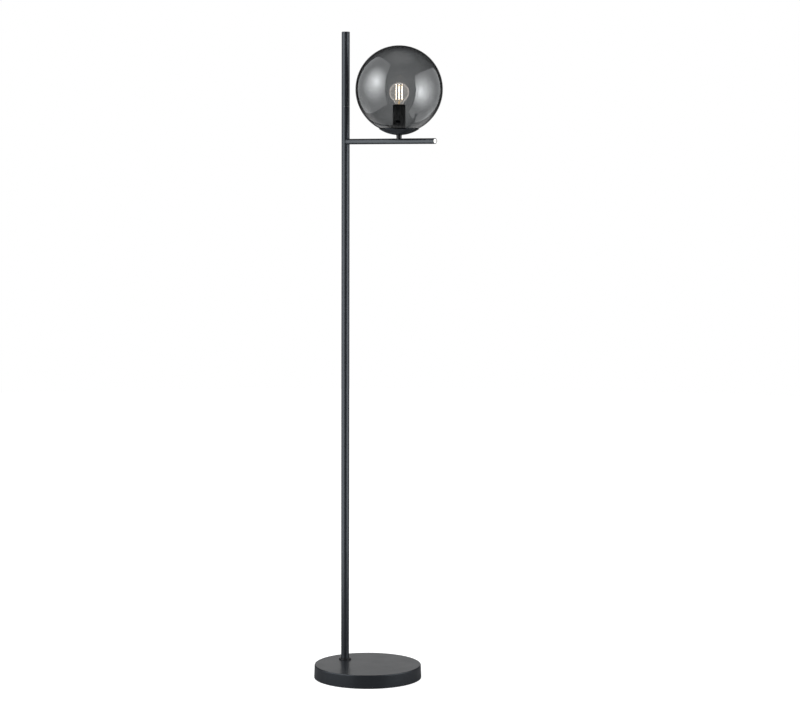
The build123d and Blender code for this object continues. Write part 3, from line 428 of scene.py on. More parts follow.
def finish(name, colour, roughness, metallic=0.0, cloud=0.1, marks=0.05, relief="Grain", scale=1200.0, depth=0.02,
           worn=None, wear=0.0, width=0.0008, dust=0.0, **fixed):
    """A procedural finish; depth is the relief in millimetres, fixed numbers go onto the shader's own sockets."""
    made = bpy.data.materials.new(name)
    made.use_nodes = True
    tree = made.node_tree
    shader = tree.nodes["Principled BSDF"]
    clouds = ramp(tree, noise(tree, 18.0, 4.0), 0.35, 0.65)
    shade = mixed(tree, clouds, tone(colour, 1 - cloud), tone(colour, 1 + cloud))
    if wear:
        mask = place_effect(tree, "Edge wear", Amount=wear, Width=width)
        shade = mixed(tree, mask, shade, tone(worn))
    if dust:
        shade = mixed(tree, place_effect(tree, "Dust", Amount=dust), shade, (0.42, 0.40, 0.37, 1))
    put(tree, shade, shader.inputs["Base Color"])
    smear = place_effect(tree, "Hand marks", Least=roughness - marks, Most=roughness + marks)
    put(tree, smear, shader.inputs["Roughness"])
    height = place_effect(tree, relief, Scale=scale)
    bump = add(tree, "Bump", Strength=1.0, Distance=depth * MM, Height=height)
    put(tree, bump.outputs[0], shader.inputs["Normal"])
    shader.inputs["Metallic"].default_value = metallic
    for label, value in fixed.items():
        shader.inputs[label.replace("_", " ")].default_value = value
    made.diffuse_color = tone(colour)
    return made


finishes = {}
print("recipe ready")

# %% [markdown]
# ## Finishes
# The charcoal powder coat is nearly black with a touch of blue and a silky sheen. Powder has only a low gloss, so
# its roughness is in the middle of the range, with a very shallow grain.

# %% Painted steel
finishes["powder_coat"] = finish(
    "charcoal_powder_coat", (0.0135, 0.0145, 0.0170), 0.29, cloud=0.06, marks=0.015, scale=1500.0, depth=0.004,
    worn=(0.045, 0.047, 0.052), wear=0.22, dust=0.012, Specular_Tint=(0.86, 0.93, 1.0, 1.0))
finishes["black_gloss"] = finish(
    "black_lacquer", (0.008, 0.008, 0.009), 0.18, marks=0.04, scale=700.0, depth=0.004, worn=(0.06, 0.06, 0.06),
    wear=0.3, dust=0.01, Specular_IOR_Level=0.3)
print("painted steel:", list(finishes))

# %% [markdown]
# Metals are bright because they have no colour under the reflection: the colour is the reflection. Zinc is dull
# and cloudy, brass warm, the screw cap of a bulb is plated aluminium, and the leaf springs are hardened steel that
# came out of the oil nearly black.

# %% Metals


def metal(name, colour, roughness, **how):
    return finish(name, colour, roughness, metallic=1.0, relief="Fine lines", **how)


finishes["polished_end"] = metal(
    "polished_nickel", (0.66, 0.63, 0.58), 0.16, cloud=0.03, marks=0.03, scale=3000.0, depth=0.001)
finishes["zinc_steel"] = metal(
    "zinc_plate", (0.60, 0.61, 0.60), 0.34, cloud=0.12, marks=0.08, depth=0.004, worn=(0.75, 0.75, 0.74), wear=0.5,
    width=0.0003)
finishes["spring_steel"] = metal(
    "oil_dark_spring_steel", (0.16, 0.155, 0.15), 0.26, cloud=0.15, marks=0.06, depth=0.003, worn=(0.5, 0.5, 0.5),
    wear=0.6, width=0.0002)
finishes["brass"] = metal(
    "bright_brass", (0.74, 0.52, 0.22), 0.20, marks=0.08, depth=0.003, worn=(0.85, 0.68, 0.38), wear=0.5,
    width=0.0003)
finishes["tinned"] = metal(
    "plated_cap", (0.40, 0.395, 0.38), 0.26, cloud=0.08, marks=0.08, depth=0.003, worn=(0.9, 0.9, 0.88), wear=0.4,
    width=0.0003)
finishes["iron"] = finish(
    "dipped_cast_iron", (0.014, 0.014, 0.015), 0.55, cloud=0.2, marks=0.1, scale=420.0, depth=0.12,
    worn=(0.12, 0.11, 0.10), wear=0.6, dust=0.1)
print("metals:", len(finishes) - 2)

# %% [markdown]
# The lampholder is a satin black moulding, the terminal block a milky nylon, and the foam under the foot is matt
# with open cells.

# %% Plastics and foam
finishes["phenolic"] = finish(
    "black_moulding", (0.021, 0.022, 0.024), 0.34, marks=0.06, scale=1000.0, depth=0.006, worn=(0.05, 0.05, 0.05),
    wear=0.5, width=0.0005, dust=0.02)
finishes["natural_nylon"] = finish(
    "natural_nylon", (0.72, 0.70, 0.62), 0.42, cloud=0.05, scale=900.0, depth=0.01, worn=(0.85, 0.84, 0.80),
    wear=0.4, width=0.0004, Subsurface_Weight=0.15, Subsurface_Radius=(0.002, 0.0018, 0.0015))
finishes["soft_black"] = finish(
    "black_foam", (0.016, 0.016, 0.016), 0.86, cloud=0.25, marks=0.06, scale=1700.0, depth=0.12, dust=0.1)
finishes["core_brown"] = finish("brown_insulation", (0.10, 0.045, 0.022), 0.42, scale=900.0, depth=0.01)
finishes["board_green"] = finish("lacquered_board", (0.02, 0.13, 0.05), 0.25, cloud=0.2, scale=1600.0)
print("plastics:", len(finishes) - 8)

# %% [markdown]
# The earth wire is green with a yellow stripe that winds round it. Bands of a wave texture set slantwise in the
# wire's space give the stripe.

# %% Striped insulation
finishes["earth_green"] = finish("earth_insulation", (0.03, 0.28, 0.06), 0.40, cloud=0.08, scale=900.0, depth=0.01)
tree = finishes["earth_green"].node_tree
shader = tree.nodes["Principled BSDF"]
slant = add(tree, "Mapping", Vector=add(tree, "TexCoord").outputs["Object"], Rotation=(0.5, 0.4, 0.6))
bands = add(tree, "TexWave", {"wave_type": "BANDS"}, Vector=slant.outputs[0], Scale=95.0)
green = shader.inputs["Base Color"].links[0].from_socket
stripe = mixed(tree, ramp(tree, bands.outputs["Fac"], 0.62, 0.68), green, (0.75, 0.62, 0.04, 1))
put(tree, stripe, shader.inputs["Base Color"])
print("earth wire striped")

# %% [markdown]
# ## Glass
# Smoked glass is dyed in the mass, so a long way through it is darker than a short one: that is what draws the
# dark outline of the globe. The colour is therefore an absorption inside the solid and the surface stays clear.
# Glass throws no hard shadow on what is inside it here, because shadow rays pass as through air. The thin glass of the
# lit bulb has a painted glow, an emission strongest at its rim that stands for the light it catches, and its stem has a
# golden painted glow. That shows through the smoke. With the globe lifted off, the bulb stands before white paper,
# where its rim is darkened with painted shade; how often a ray has passed through glass tells the two apart.

# %% Glass


def glass(name, smoke=None, density=0.0, tint=(1.0, 1.0, 1.0), glow=0.0):
    """Clear or smoked glass; smoke is the colour left over at this density, glow the strength of a painted glow at the
    rim, which also turns on painted shade on the rim where no smoke is in front.
    """
    made = bpy.data.materials.new(name)
    made.use_nodes = True
    tree = made.node_tree
    shader = tree.nodes["Principled BSDF"]
    for label, value in {"Base Color": tone(tint), "Roughness": 0.0, "IOR": 1.53, "Transmission Weight": 1.0}.items():
        shader.inputs[label].default_value = value
    if glow:
        # Painted glow at the rim, stronger behind the smoke, and painted shade that darkens the bare rim.
        shader.inputs["Emission Color"].default_value = (1.0, 0.91 * tint[1], 0.85 * tint[2], 1.0)
        rim = ramp(tree, add(tree, "LayerWeight", Blend=0.5).outputs["Facing"], 0.5, 1.0)
        in_smoke = ramp(tree, add(tree, "LightPath").outputs["Transmission Depth"], 1.0, 2.0)
        painted_rim_glow = ramp(tree, rim, 0.0, 1.0, 0.1 * glow, glow)
        put(tree, ramp(tree, in_smoke, 0.0, 1.0, 0.05, painted_rim_glow), shader.inputs["Emission Strength"])
        rim_painted_shade = maths(tree, "SUBTRACT", rim, in_smoke)
        put(tree, mixed(tree, rim_painted_shade, tone(tint), (0.3, 0.31, 0.31, 1)), shader.inputs["Base Color"])
    air = add(tree, "BsdfTransparent", Color=tone(tint))
    chosen = add(tree, "MixShader")
    put(tree, add(tree, "LightPath").outputs["Is Shadow Ray"], chosen.inputs[0])
    put(tree, shader.outputs[0], chosen.inputs[1])
    put(tree, air.outputs[0], chosen.inputs[2])
    end = tree.nodes["Material Output"]
    put(tree, chosen.outputs[0], end.inputs["Surface"])
    if smoke:
        inside = add(tree, "VolumeAbsorption", Color=tone(smoke), Density=density)
        put(tree, inside.outputs[0], end.inputs["Volume"])
    made.diffuse_color = tone(tint)[:3] + (0.4,)
    return made


finishes["smoked_glass"] = glass("smoked_glass", smoke=(0.02, 0.035, 0.045), density=400.0)
# The bulb and its stem get the painted glow and painted rim shade; the smoked globe gets neither.
finishes["clear_glass"] = glass("clear_glass", tint=(0.97, 0.98, 0.97), glow=1.1)
finishes["stem_glass"] = glass("stem_glass", tint=(1.0, 0.78, 0.42), glow=1.6)
print("glass ready")

# %% [markdown]
# The filaments are strips of tiny diodes under a yellow phosphor, lit. They glow a warm white, a little brighter over
# each diode, and the wires that hold them have a warm painted glow standing for their light. The far side of the globe
# would mirror them over the bulb; the photograph shows no such image, so they are dim in reflections. They are at full
# strength behind the smoked globe only, and without it they show the colour of the phosphor.

# %% Filaments
strip = finish("lit_phosphor", (0.9, 0.62, 0.2), 0.5, cloud=0.05, scale=2500.0)
tree = strip.node_tree
shader = tree.nodes["Principled BSDF"]
here = add(tree, "TexCoord").outputs["Object"]
rows = add(tree, "TexWave", {"wave_type": "BANDS", "bands_direction": "Z"}, Vector=here, Scale=210.0)
warm = mixed(tree, rows.outputs["Fac"], (1.0, 0.80, 0.60, 1), (1.0, 0.89, 0.78, 1))
put(tree, warm, shader.inputs["Emission Color"])
path = add(tree, "LightPath")
through = ramp(tree, path.outputs["Transmission Depth"], 2.0, 4.0, 0.3, 10.0)
put(tree, ramp(tree, path.outputs["Glossy Depth"], 0.0, 1.0, through, 0.8), shader.inputs["Emission Strength"])
finishes["filament"] = strip
# Painted glow: the wires give off a little warm light, standing for the filaments' light on them.
finishes["support_wire"] = metal(
    "gilt_wire_painted_glow", (0.80, 0.55, 0.22), 0.25, depth=0.002, Emission_Color=(1.0, 0.80, 0.48, 1.0), Emission_Strength=1.2)
# Painted shade: the holder's inner core is made darker and duller than the moulding, for the shade inside the latch
# windows.
finishes["latch_core"] = finish("black_core_painted_shade", (0.003, 0.003, 0.003), 0.7, depth=0.01, Specular_IOR_Level=0.1)
print("finishes:", sorted(finishes))

# %% [markdown]
# ## Every CAD node gets its finish
# The record names a material slot for each node, so the finishes are put on by that list. The pieces made below
# then take the place of the nodes that are seen most.

# %% Dress the CAD nodes
slot_of = {part["node"]: part["material_slot"] for part in frame["record"]["subparts"]}
body_of = {name: body for body, names in frame["record"]["behaviour"]["bodies"].items() for name in names}


def wear_finish(thing, name):
    thing.data.materials.clear()
    thing.data.materials.append(finishes[name])


for name, slot in slot_of.items():
    wear_finish(nodes[name], slot)
# The bulb's wires get the finish with the painted glow.
wear_finish(nodes["bulb_wires"], "support_wire")
# The holder's core takes the finish with the painted shade.
wear_finish(nodes["holder_core"], "latch_core")
print("dressed", len(slot_of), "nodes")

# %% [markdown]
# ## Helpers for turned pieces
# Nearly everything on this lamp was turned or spun: tubes, collar, dish, globe, bulb. A turned piece is an outline
# of (radius, height) points carried round an axis. `softened` rounds the corners of an outline as a file would,
# and keeps the straights flat with one more point next to each curve, because smooth shading would otherwise
# bend the light across the whole face. `turned` makes the mesh.

# %% Rounded outlines
GUARD = 0.15  # millimetres from the end of a curve to the point that keeps its straight flat


def softened(points, radii, closed=True, steps=5):
    """The outline with each corner rounded to its radius; radius 0 keeps it sharp."""
    made, count = [], len(points)
    for n, radius in enumerate(radii):
        corner = Vector(points[n])
        if not radius or (not closed and n in (0, count - 1)):
            made.append(tuple(corner))
            continue
        before, after = Vector(points[n - 1]) - corner, Vector(points[(n + 1) % count]) - corner
        back, on = before.normalized(), after.normalized()
        half = back.angle(on) / 2
        reach = radius / tan(half)
        centre = corner + (back + on).normalized() * (radius / sin(half))
        first, last = corner + back * reach - centre, corner + on * reach - centre
        start, sweep = atan2(first.y, first.x), atan2(last.y, last.x) - atan2(first.y, first.x)
        sweep = (sweep + pi) % (2 * pi) - pi
        room = 2.5 * reach + 0.5
        if before.length > room:
            made.append(tuple(corner + back * (reach + GUARD)))
        for step in range(steps + 1):
            turn = start + sweep * step / steps
            made.append((centre.x + radius * cos(turn), centre.y + radius * sin(turn)))
        if after.length > room:
            made.append(tuple(corner + on * (reach + GUARD)))
    return made


def arc(centre_z, radius, start, end, steps):
    """Points of a circle on the axis, from one height angle to another in radians (0 is level)."""
    return [(max(0.0, radius * cos(a)), centre_z + radius * sin(a))
            for a in (start + (end - start) * n / steps for n in range(steps + 1))]


print("outline helpers ready")

# %% Turned meshes
SHARP = 32


def as_piece(name, mesh, sharp=SHARP):
    """Finish a bmesh: faces outwards, smooth, with edges sharper than this angle in degrees kept crisp."""
    bmesh.ops.recalc_face_normals(mesh, faces=mesh.faces)
    data = bpy.data.meshes.new(name)
    mesh.to_mesh(data)
    mesh.free()
    data.shade_smooth()
    data.set_sharp_from_angle(angle=radians(sharp))
    made = bpy.data.objects.new(name, data)
    bpy.context.scene.collection.objects.link(made)
    return made


def bridge(mesh, rings, closed=False):
    """Faces from each ring of points to the next, and from the last to the first if it is closed."""
    for low, high in zip(rings, rings[1:] + rings[:1] if closed else rings[1:]):
        for n in range(len(low)):
            m = (n + 1) % len(low)
            corners = list(dict.fromkeys((low[n], low[m], high[m], high[n])))
            if len(corners) > 2:
                mesh.faces.new(corners)


def turn_into(mesh, outline, x=0.0, y=0.0, steps=96, ring=True, lying=False, swell=None):
    """Add a turned surface to a bmesh. lying turns it about a level axis along X at height y."""
    circles = []
    for radius, height in outline:
        circle, tip = [], None
        for n in range(steps):
            turn = 2 * pi * n / steps
            r = radius + (swell(radius, height, turn) if swell else 0.0)
            aside, beyond = r * cos(turn), y + r * sin(turn)
            point = (height, aside, beyond) if lying else (x + aside, beyond, height)
            if radius < 1e-6 and tip:
                circle.append(tip)
            else:
                tip = mesh.verts.new(Vector(point) * MM)
                circle.append(tip)
        circles.append(circle)
    bridge(mesh, circles, ring)


def turned(name, outline, sharp=SHARP, **how):
    """A turned piece from an outline in millimetres."""
    mesh = bmesh.new()
    turn_into(mesh, outline, **how)
    return as_piece(name, mesh, sharp)


def stands_for(piece, *names, look=None):
    """Put a piece in place of CAD nodes: it rides on their body and takes their slot's finish."""
    wear_finish(piece, look or slot_of[names[0]])
    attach(piece, body_of[names[0]])
    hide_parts(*names)
    print(piece.name, "stands for", ", ".join(names), "with", len(piece.data.polygons), "faces")
    return piece


print("turning helpers ready")

# %% [markdown]
# ## Foot
# The cover of the foot is spun from sheet steel over a form: a flat top, a tight radius, a wall that leans in a
# millimetre, and a rim that floats just above the floor. It is turned with its wall thickness, and the hole for
# the mains inlet is cut through the back with a boolean, as a hole saw would.

# %% Foot cover
SHEET, LEAN, SAW_R = 1.2, 1.0, 4.9


def cut(piece, cutter):
    """Cut a piece with another and throw the cutter away."""
    cutting = piece.modifiers.new("cut", "BOOLEAN")
    cutting.operation, cutting.object, cutting.solver = "DIFFERENCE", cutter, "EXACT"
    shaped = bpy.data.meshes.new_from_object(piece.evaluated_get(bpy.context.evaluated_depsgraph_get()))
    piece.modifiers.clear()
    piece.data = shaped
    bpy.data.objects.remove(cutter)
    shaped.shade_smooth()
    shaped.set_sharp_from_angle(angle=radians(SHARP))
    return piece


outline = softened(
    [(0, foot_top), (foot_r - LEAN, foot_top), (foot_r, foot_low), (foot_r - SHEET, foot_low),
     (foot_r - LEAN - SHEET, foot_top - SHEET), (0, foot_top - SHEET)],
    (0, 2.0, 0.4, 0.4, 0.8, 0), closed=False)
cover = turned("foot_cover", outline, steps=160, ring=False)
inlet_low, inlet_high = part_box("cord_inlet")
inlet_z = (inlet_low.z + inlet_high.z) / 2 / MM
saw = turned("hole_saw", [(0, -foot_r - 4), (SAW_R, -foot_r - 4), (SAW_R, -foot_r + 6), (0, -foot_r + 6)],
             steps=48, ring=False, lying=True, y=inlet_z)
stands_for(cut(cover, saw), "base_cover")

# %% [markdown]
# A black ring hides the joint between pole and foot. Its top is slightly hollow, which gives the bright line round
# its crest.

# %% Foot collar
collar_r, collar_low, collar_top = measure("foot_collar")[1:]
bore = pole_r + 0.05
outline = softened(
    [(bore, collar_low), (collar_r, collar_low), (collar_r, collar_top - 1.1), (collar_r - 1.4, collar_top),
     (bore + 1.3, collar_top - 0.8), (bore, collar_top - 0.8)],
    (0, 0.3, 0.9, 0.7, 0.8, 0))
stands_for(turned("foot_collar_ring", outline, x=pole_x), "foot_collar")

# %% [markdown]
# ## Pole
# The pole is two lengths of tube that meet in a hairline joint above the arm, and a cap with a rounded rim. Each
# end has a fine chamfer from deburring, and those chamfers are what makes the hairline visible.

# %% Pole tubes and cap
WALL, BURR = 1.2, 0.25


def tube_outline(radius, wall, low, high):
    """A tube with its outer corners deburred."""
    return [(radius, low + BURR), (radius, high - BURR), (radius - BURR, high), (radius - wall, high),
            (radius - wall, low), (radius - BURR, low)]


stands_for(turned("pole", tube_outline(pole_r, WALL, pole_low, seam_low), x=pole_x, steps=64), "pole_tube")
seam_high, tube_top = measure("pole_top_tube")[2:]
stands_for(turned("pole_top", tube_outline(pole_r, WALL, seam_high, tube_top), x=pole_x, steps=64), "pole_top_tube")
cap_top = measure("pole_top_cap")[3]
outline = softened([(0, cap_top), (pole_r, cap_top - 0.05), (pole_r, tube_top), (0, tube_top)],
                   (0, 1.6, 0.25, 0), closed=False)
stands_for(turned("pole_cap", outline, x=pole_x, steps=64, ring=False), "pole_top_cap")

# %% [markdown]
# ## Arm
# The arm is a thinner tube, coped to the round of the pole and welded all round, then painted over. Its first
# circle of points lies on the pole's surface, and a smooth bead covers the joint.

# %% Arm tube and weld
shoulder = arm_high.x / MM
ROUND, BEAD_ROUND = 64, 12  # points round the arm and round the bead
BEAD_R, RIPPLE, RIPPLES = 0.85, 0.06, 11


def saddle(turn, radius, away=0.0):
    """A point where a tube along X of this radius meets the pole, in millimetres."""
    y = radius * cos(turn)
    return Vector((pole_x + sqrt(pole_r ** 2 - y ** 2) + away, y, arm_z + radius * sin(turn)))


mesh = bmesh.new()
turns = [2 * pi * n / ROUND for n in range(ROUND)]
rings = [[mesh.verts.new(saddle(turn, arm_r) * MM) for turn in turns]]
for back, inset in ((0.6, 0), (0.25, 0.05), (0, 0.3), (0, 1)):
    x, radius = shoulder - back, arm_r - inset
    rings.append([mesh.verts.new(Vector((x, radius * cos(t), arm_z + radius * sin(t))) * MM) for t in turns])
bridge(mesh, rings)
stands_for(as_piece("arm", mesh), "arm_tube")

mesh = bmesh.new()
rings = []
for turn in turns:
    middle = saddle(turn, arm_r + 0.25, 0.25)
    outwards = (saddle(turn, arm_r + 1.5) - saddle(turn, arm_r)).normalized()
    size = BEAD_R + RIPPLE * sin(RIPPLES * turn)
    rings.append([mesh.verts.new((middle + outwards * size * cos(a) + Vector((1, 0, 0)) * size * sin(a)) * MM)
                  for a in (2 * pi * m / BEAD_ROUND for m in range(BEAD_ROUND))])
bridge(mesh, rings, closed=True)
bead = as_piece("arm_weld", mesh, 60)
wear_finish(bead, "powder_coat")
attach(bead, "stand")
print("arm from", round(pole_x + pole_r, 1), "to", round(shoulder, 1))

# %% [markdown]
# The free end of the arm is closed by a plug. Its face is polished and a little crowned, so that it catches the
# light like a coin. The paint of the arm runs over its edge and leaves the dark ring round the face.

# %% Arm end plug
CROWN, FACE_R, PLUG_L = 0.3, 4.6, 8
plug_r = arm_r - 1.05
outline = [(FACE_R * n / 6, arm_end - CROWN * (n / 6) ** 2) for n in range(7)]
outline += [(FACE_R, shoulder), (plug_r, shoulder), (plug_r, shoulder - PLUG_L), (0, shoulder - PLUG_L)]
stands_for(turned("arm_end", outline, steps=64, ring=False, lying=True, y=arm_z), "arm_end_plug")
outline = softened([(FACE_R, shoulder), (FACE_R, arm_end - 0.1), (arm_r, arm_end - 0.1), (arm_r, shoulder)],
                   (0, 0.15, 0.4, 0.05))
painted = turned("arm_end_paint", outline, steps=64, lying=True, y=arm_z)
wear_finish(painted, "powder_coat")
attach(painted, "stand")
print("polished face", 2 * FACE_R, "wide")

# %% [markdown]
# ## Neck and dish
# The neck is a small turned piece with a waist, saddled over the arm. It carries the dish, a shallow bowl whose
# edge is rolled over, so that it is stiff and not sharp.

# %% Neck
NECK_R, HOLLOW, SADDLE = 6.2, 0.3, 3.0
neck_low, dish_z = arm_z + arm_r - SADDLE, measure("neck")[3]
waist = [(NECK_R - HOLLOW * sin(pi * n / 10) + HOLLOW * n / 10,
          neck_low + 0.3 + (dish_z - neck_low - 0.7) * n / 10) for n in range(11)]
outline = [(0, neck_low), (5.9, neck_low)] + waist + [(6.25, dish_z), (0, dish_z)]
stands_for(turned("neck_spindle", outline, x=globe_x, steps=64, ring=False), "neck")

# %% Dish
dish_rim_r, dish_low, dish_rim = measure("dish")[1:]
SPUN, BORE_R, FLAT_R, DISH_R, ROLL_R = 0.8, 5.3, 8.5, 83.08, 0.6
dish_centre = dish_low + sqrt(DISH_R ** 2 - FLAT_R ** 2)


def bowl(radius, inset=0.0):
    """Height of the bowl's wall at a distance from its axis."""
    return dish_centre - sqrt((DISH_R - inset) ** 2 - radius ** 2)


steps = [FLAT_R + (dish_rim_r - 0.9 - FLAT_R) * n / 28 for n in range(29)]
outside = [(r, bowl(r)) for r in steps]
inside = [(r, bowl(r, SPUN)) for r in reversed(steps)]
roll_r, roll_z = dish_rim_r - 0.55, dish_rim - 0.62
roll = [(roll_r + ROLL_R * cos(a), roll_z + ROLL_R * sin(a)) for a in (radians(-70 + 26 * n) for n in range(9))]
outline = [(BORE_R, dish_low)] + outside + roll + inside + [(BORE_R, dish_low + SPUN)]
stands_for(turned("dish_bowl", outline, x=globe_x, steps=128, sharp=50), "dish")

# %% [markdown]
# ## Leaf springs
# Three strips of spring steel hold the globe by its mouth: each runs along the dish, stands up inside the glass,
# and leans out over its edge. A strip is one bent centre line given a width and a thickness.

# %% Leaf springs
LEAF_W, LEAF_T, LEAF_TURNS, BEND_R, HUB_R = 8.0, 0.5, (51.0, 171.0, 291.0), 1.8, 7.75
UPRIGHT_R, HEEL_Z = 34.27, 1282.9  # where a leaf stands inside the mouth, and its lower bend over the dish
hub_low = dish_low + SPUN
half_w, half_t = LEAF_W / 2, LEAF_T / 2
leaf_line = softened(
    [(5.6, hub_low + half_t), (HUB_R, hub_low + half_t), (UPRIGHT_R, HEEL_Z), (UPRIGHT_R, mouth_z + 2.6),
     (45.0, mouth_z + 10.3), (46.4, mouth_z + 8.7)],
    (0, BEND_R, BEND_R, BEND_R, 1.0, 0), closed=False, steps=8)
leaf_section = softened([(-half_w, -half_t), (half_w, -half_t), (half_w, half_t), (-half_w, half_t)],
                        (0.15, 0.15, 0.15, 0.15), steps=2)


def add_leaf(mesh, angle):
    """One leaf spring at this angle round the globe's axis."""
    around = Matrix.Rotation(radians(angle), 3, "Z")
    rings = []
    for n, (r, z) in enumerate(leaf_line):
        before, after = leaf_line[max(0, n - 1)], leaf_line[min(len(leaf_line) - 1, n + 1)]
        along = Vector((after[0] - before[0], after[1] - before[1])).normalized()
        ring = []
        for side, out in leaf_section:
            point = around @ Vector((r - along.y * out, side, z + along.x * out))
            ring.append(mesh.verts.new((point + Vector((globe_x, 0, 0))) * MM))
        rings.append(ring)
    bridge(mesh, rings)
    mesh.faces.new(rings[0])
    mesh.faces.new(rings[-1])


mesh = bmesh.new()
for angle in LEAF_TURNS:
    add_leaf(mesh, angle)
hub_top, hole_r = hub_low + LEAF_T, BORE_R + 0.05
turn_into(mesh, [(hole_r, hub_low), (HUB_R, hub_low), (HUB_R, hub_top), (hole_r, hub_top)], x=globe_x, steps=48)
stands_for(as_piece("leaf_springs", mesh, 25), "spring_spider")

# %% [markdown]
# ## Globe
# The globe is blown glass with a round mouth below, 2.5 mm thick. It is turned as a real wall with an outer and an
# inner face, because only a solid wall bends and darkens light as glass does. The cut edge of the mouth is ground
# smooth.

# %% Glass globe
GLASS, GROUND = 2.5, 0.35
SHORT = 0.006  # radians that both faces stop short of the mouth, where its edge is ground
globe_z = globe_top - globe_r
mouth_out = atan2(mouth_z - globe_z, sqrt(globe_r ** 2 - (globe_z - mouth_z) ** 2))
inner_r = globe_r - GLASS
mouth_in = atan2(mouth_z - globe_z, sqrt(inner_r ** 2 - (globe_z - mouth_z) ** 2))
outer = arc(globe_z, globe_r, mouth_out + SHORT, pi / 2, 90)
inner = arc(globe_z, inner_r, pi / 2, mouth_in + SHORT, 90)
outline = outer + inner + [(inner[-1][0] + GROUND, mouth_z), (outer[0][0] - GROUND, mouth_z)]
mesh = bmesh.new()
turn_into(mesh, outline, x=globe_x, steps=160)
bmesh.ops.dissolve_degenerate(mesh, dist=1e-7, edges=mesh.edges)
globe = stands_for(as_piece("globe_glass", mesh, 40), "glass_globe")
for collection in (lit_by_cloth, not_lit_evenly):
    collection.objects.link(globe)
not_lit_evenly.collection_objects[0].light_linking.link_state = "EXCLUDE"

# %% [markdown]
# ## Lampholder
# The lampholder is a plain skirt in two mouldings. The lower one has two small windows where the latch of the
# inner part can be pressed; they are cut with a block whose corners are rounded, as a mould would leave them.

# %% Lower body of the lampholder
holder_r, holder_low, holder_seam = measure("holder_base")[1:]
hollow_r, SOCKET_R, SOCKET_H = holder_r - 1.7, 5.05, 9.5
WINDOW_W, WINDOW_H, WINDOW_UP, WINDOW_TURN = 10.5, 5.9, 26.5, -58
outline = softened(
    [(SOCKET_R, holder_low), (holder_r, holder_low), (holder_r, holder_seam), (hollow_r, holder_seam),
     (hollow_r, holder_low + 3), (8.0, holder_low + 3), (8.0, holder_low + SOCKET_H),
     (SOCKET_R, holder_low + SOCKET_H)],
    (0, 1.5, 0.3, 0.3, 0.5, 0.5, 0.3, 0))
skirt = turned("lampholder_base", outline, x=globe_x, steps=96)
window = bmesh.new()
bmesh.ops.create_cube(window, size=1.0, matrix=Matrix.Diagonal((40 * MM, WINDOW_W * MM, WINDOW_H * MM, 1)))
bmesh.ops.bevel(window, geom=[e for e in window.edges if abs(e.verts[0].co.x - e.verts[1].co.x) > 0.03],
                offset=1.0 * MM, segments=5, affect="EDGES")
punch = as_piece("window_punch", window)
middle = Matrix.Translation((globe_x * MM, 0, (holder_low + WINDOW_UP) * MM))
punch.matrix_world = middle @ Matrix.Rotation(radians(WINDOW_TURN), 4, "Z")
bpy.context.view_layer.update()
stands_for(cut(skirt, punch), "holder_base")

# %% Upper sleeve of the lampholder
shell_low, shell_top, HOLE_R = holder_seam + 0.2, measure("holder_shell")[3], 10.3
outline = softened(
    [(holder_r, shell_low), (holder_r, shell_top), (HOLE_R, shell_top), (HOLE_R, shell_top - 1.7),
     (hollow_r, shell_top - 1.7), (hollow_r, shell_low)],
    (0.3, 3.4, 0.5, 0.3, 1.5, 0.2))
stands_for(turned("lampholder_sleeve", outline, x=globe_x, steps=96), "holder_shell")

# %% [markdown]
# ## Screw cap and screw shell
# A bulb's cap is rolled from thin sheet: the thread is a wave in the wall. The same wave, a little wider, is in the
# brass shell that takes it. Here the wave is added to the radius while the piece is turned, and it climbs with the
# angle, which makes it a helix.

# %% Threads
PITCH = 2.82


def wave(height, turn):
    """The rolled thread, from 0 in the groove to 1 on the crest."""
    return 0.5 + 0.5 * cos(2 * pi * height / PITCH - turn)


def fade(height, low, high, over=1.2):
    """1 between two heights, fading to 0 at both."""
    return max(0.0, min(1.0, (height - low) / over, (high - height) / over))


bulb_cap_r, cap_low, cap_high = measure("bulb_cap")[1:]
thread_low, thread_high = cap_low + 2.0, cap_high - 4.2
levels = [cap_low + 1.6 + (cap_high - cap_low - 1.6) * n / 80 for n in range(81)]
outline = [(bulb_cap_r - 1.6, cap_low)] + [(bulb_cap_r, z) for z in levels]
outline += [(bulb_cap_r - 0.3, cap_high), (bulb_cap_r - 0.3, cap_low + 1.8), (bulb_cap_r - 1.6, cap_low + 0.4)]


def cap_thread(radius, height, turn):
    """The cap's wall stays inside its radius: grooves go inwards."""
    if radius < bulb_cap_r - 0.1:
        return 0.0 if height > cap_high - 0.1 or height < cap_low + 1.7 else -0.7
    return -0.62 * (1 - wave(height, turn)) * fade(height, thread_low, thread_high)


stands_for(turned("bulb_screw_cap", outline, x=globe_x, steps=72, swell=cap_thread), "bulb_cap")

lip_r, brass_low, brass_top = measure("holder_contact_shell")[1:]
levels = [brass_low + (brass_top - 0.4 - brass_low) * n / 90 for n in range(91)]
outline = [(7.2, z) for z in levels] + [(7.2, brass_top), (lip_r, brass_top), (lip_r, brass_top - 0.4)]
outline += [(7.6, brass_top - 0.4), (7.6, brass_low)]


def shell_thread(radius, height, turn):
    """The shell's wall gives way outwards."""
    return 0.3 * wave(height, turn) * fade(height, brass_low, brass_top - 0.4) if radius < 7.3 else 0.0


stands_for(turned("brass_screw_shell", outline, x=globe_x, steps=72, swell=shell_thread), "holder_contact_shell")

# %% [markdown]
# ## Bulb
# The bulb is a thin ball of clear glass on a short neck that goes down into the cap, with a glass stem inside it.
# Outline and wall follow the CAD model: one line outside, one a wall's thickness further in.

# %% Bulb glass
bulb_r, tail_z, bulb_top = measure("bulb_glass")[1:]
BULB_WALL, SHOULDER = 0.8, radians(38)
bulb_z = bulb_top - bulb_r


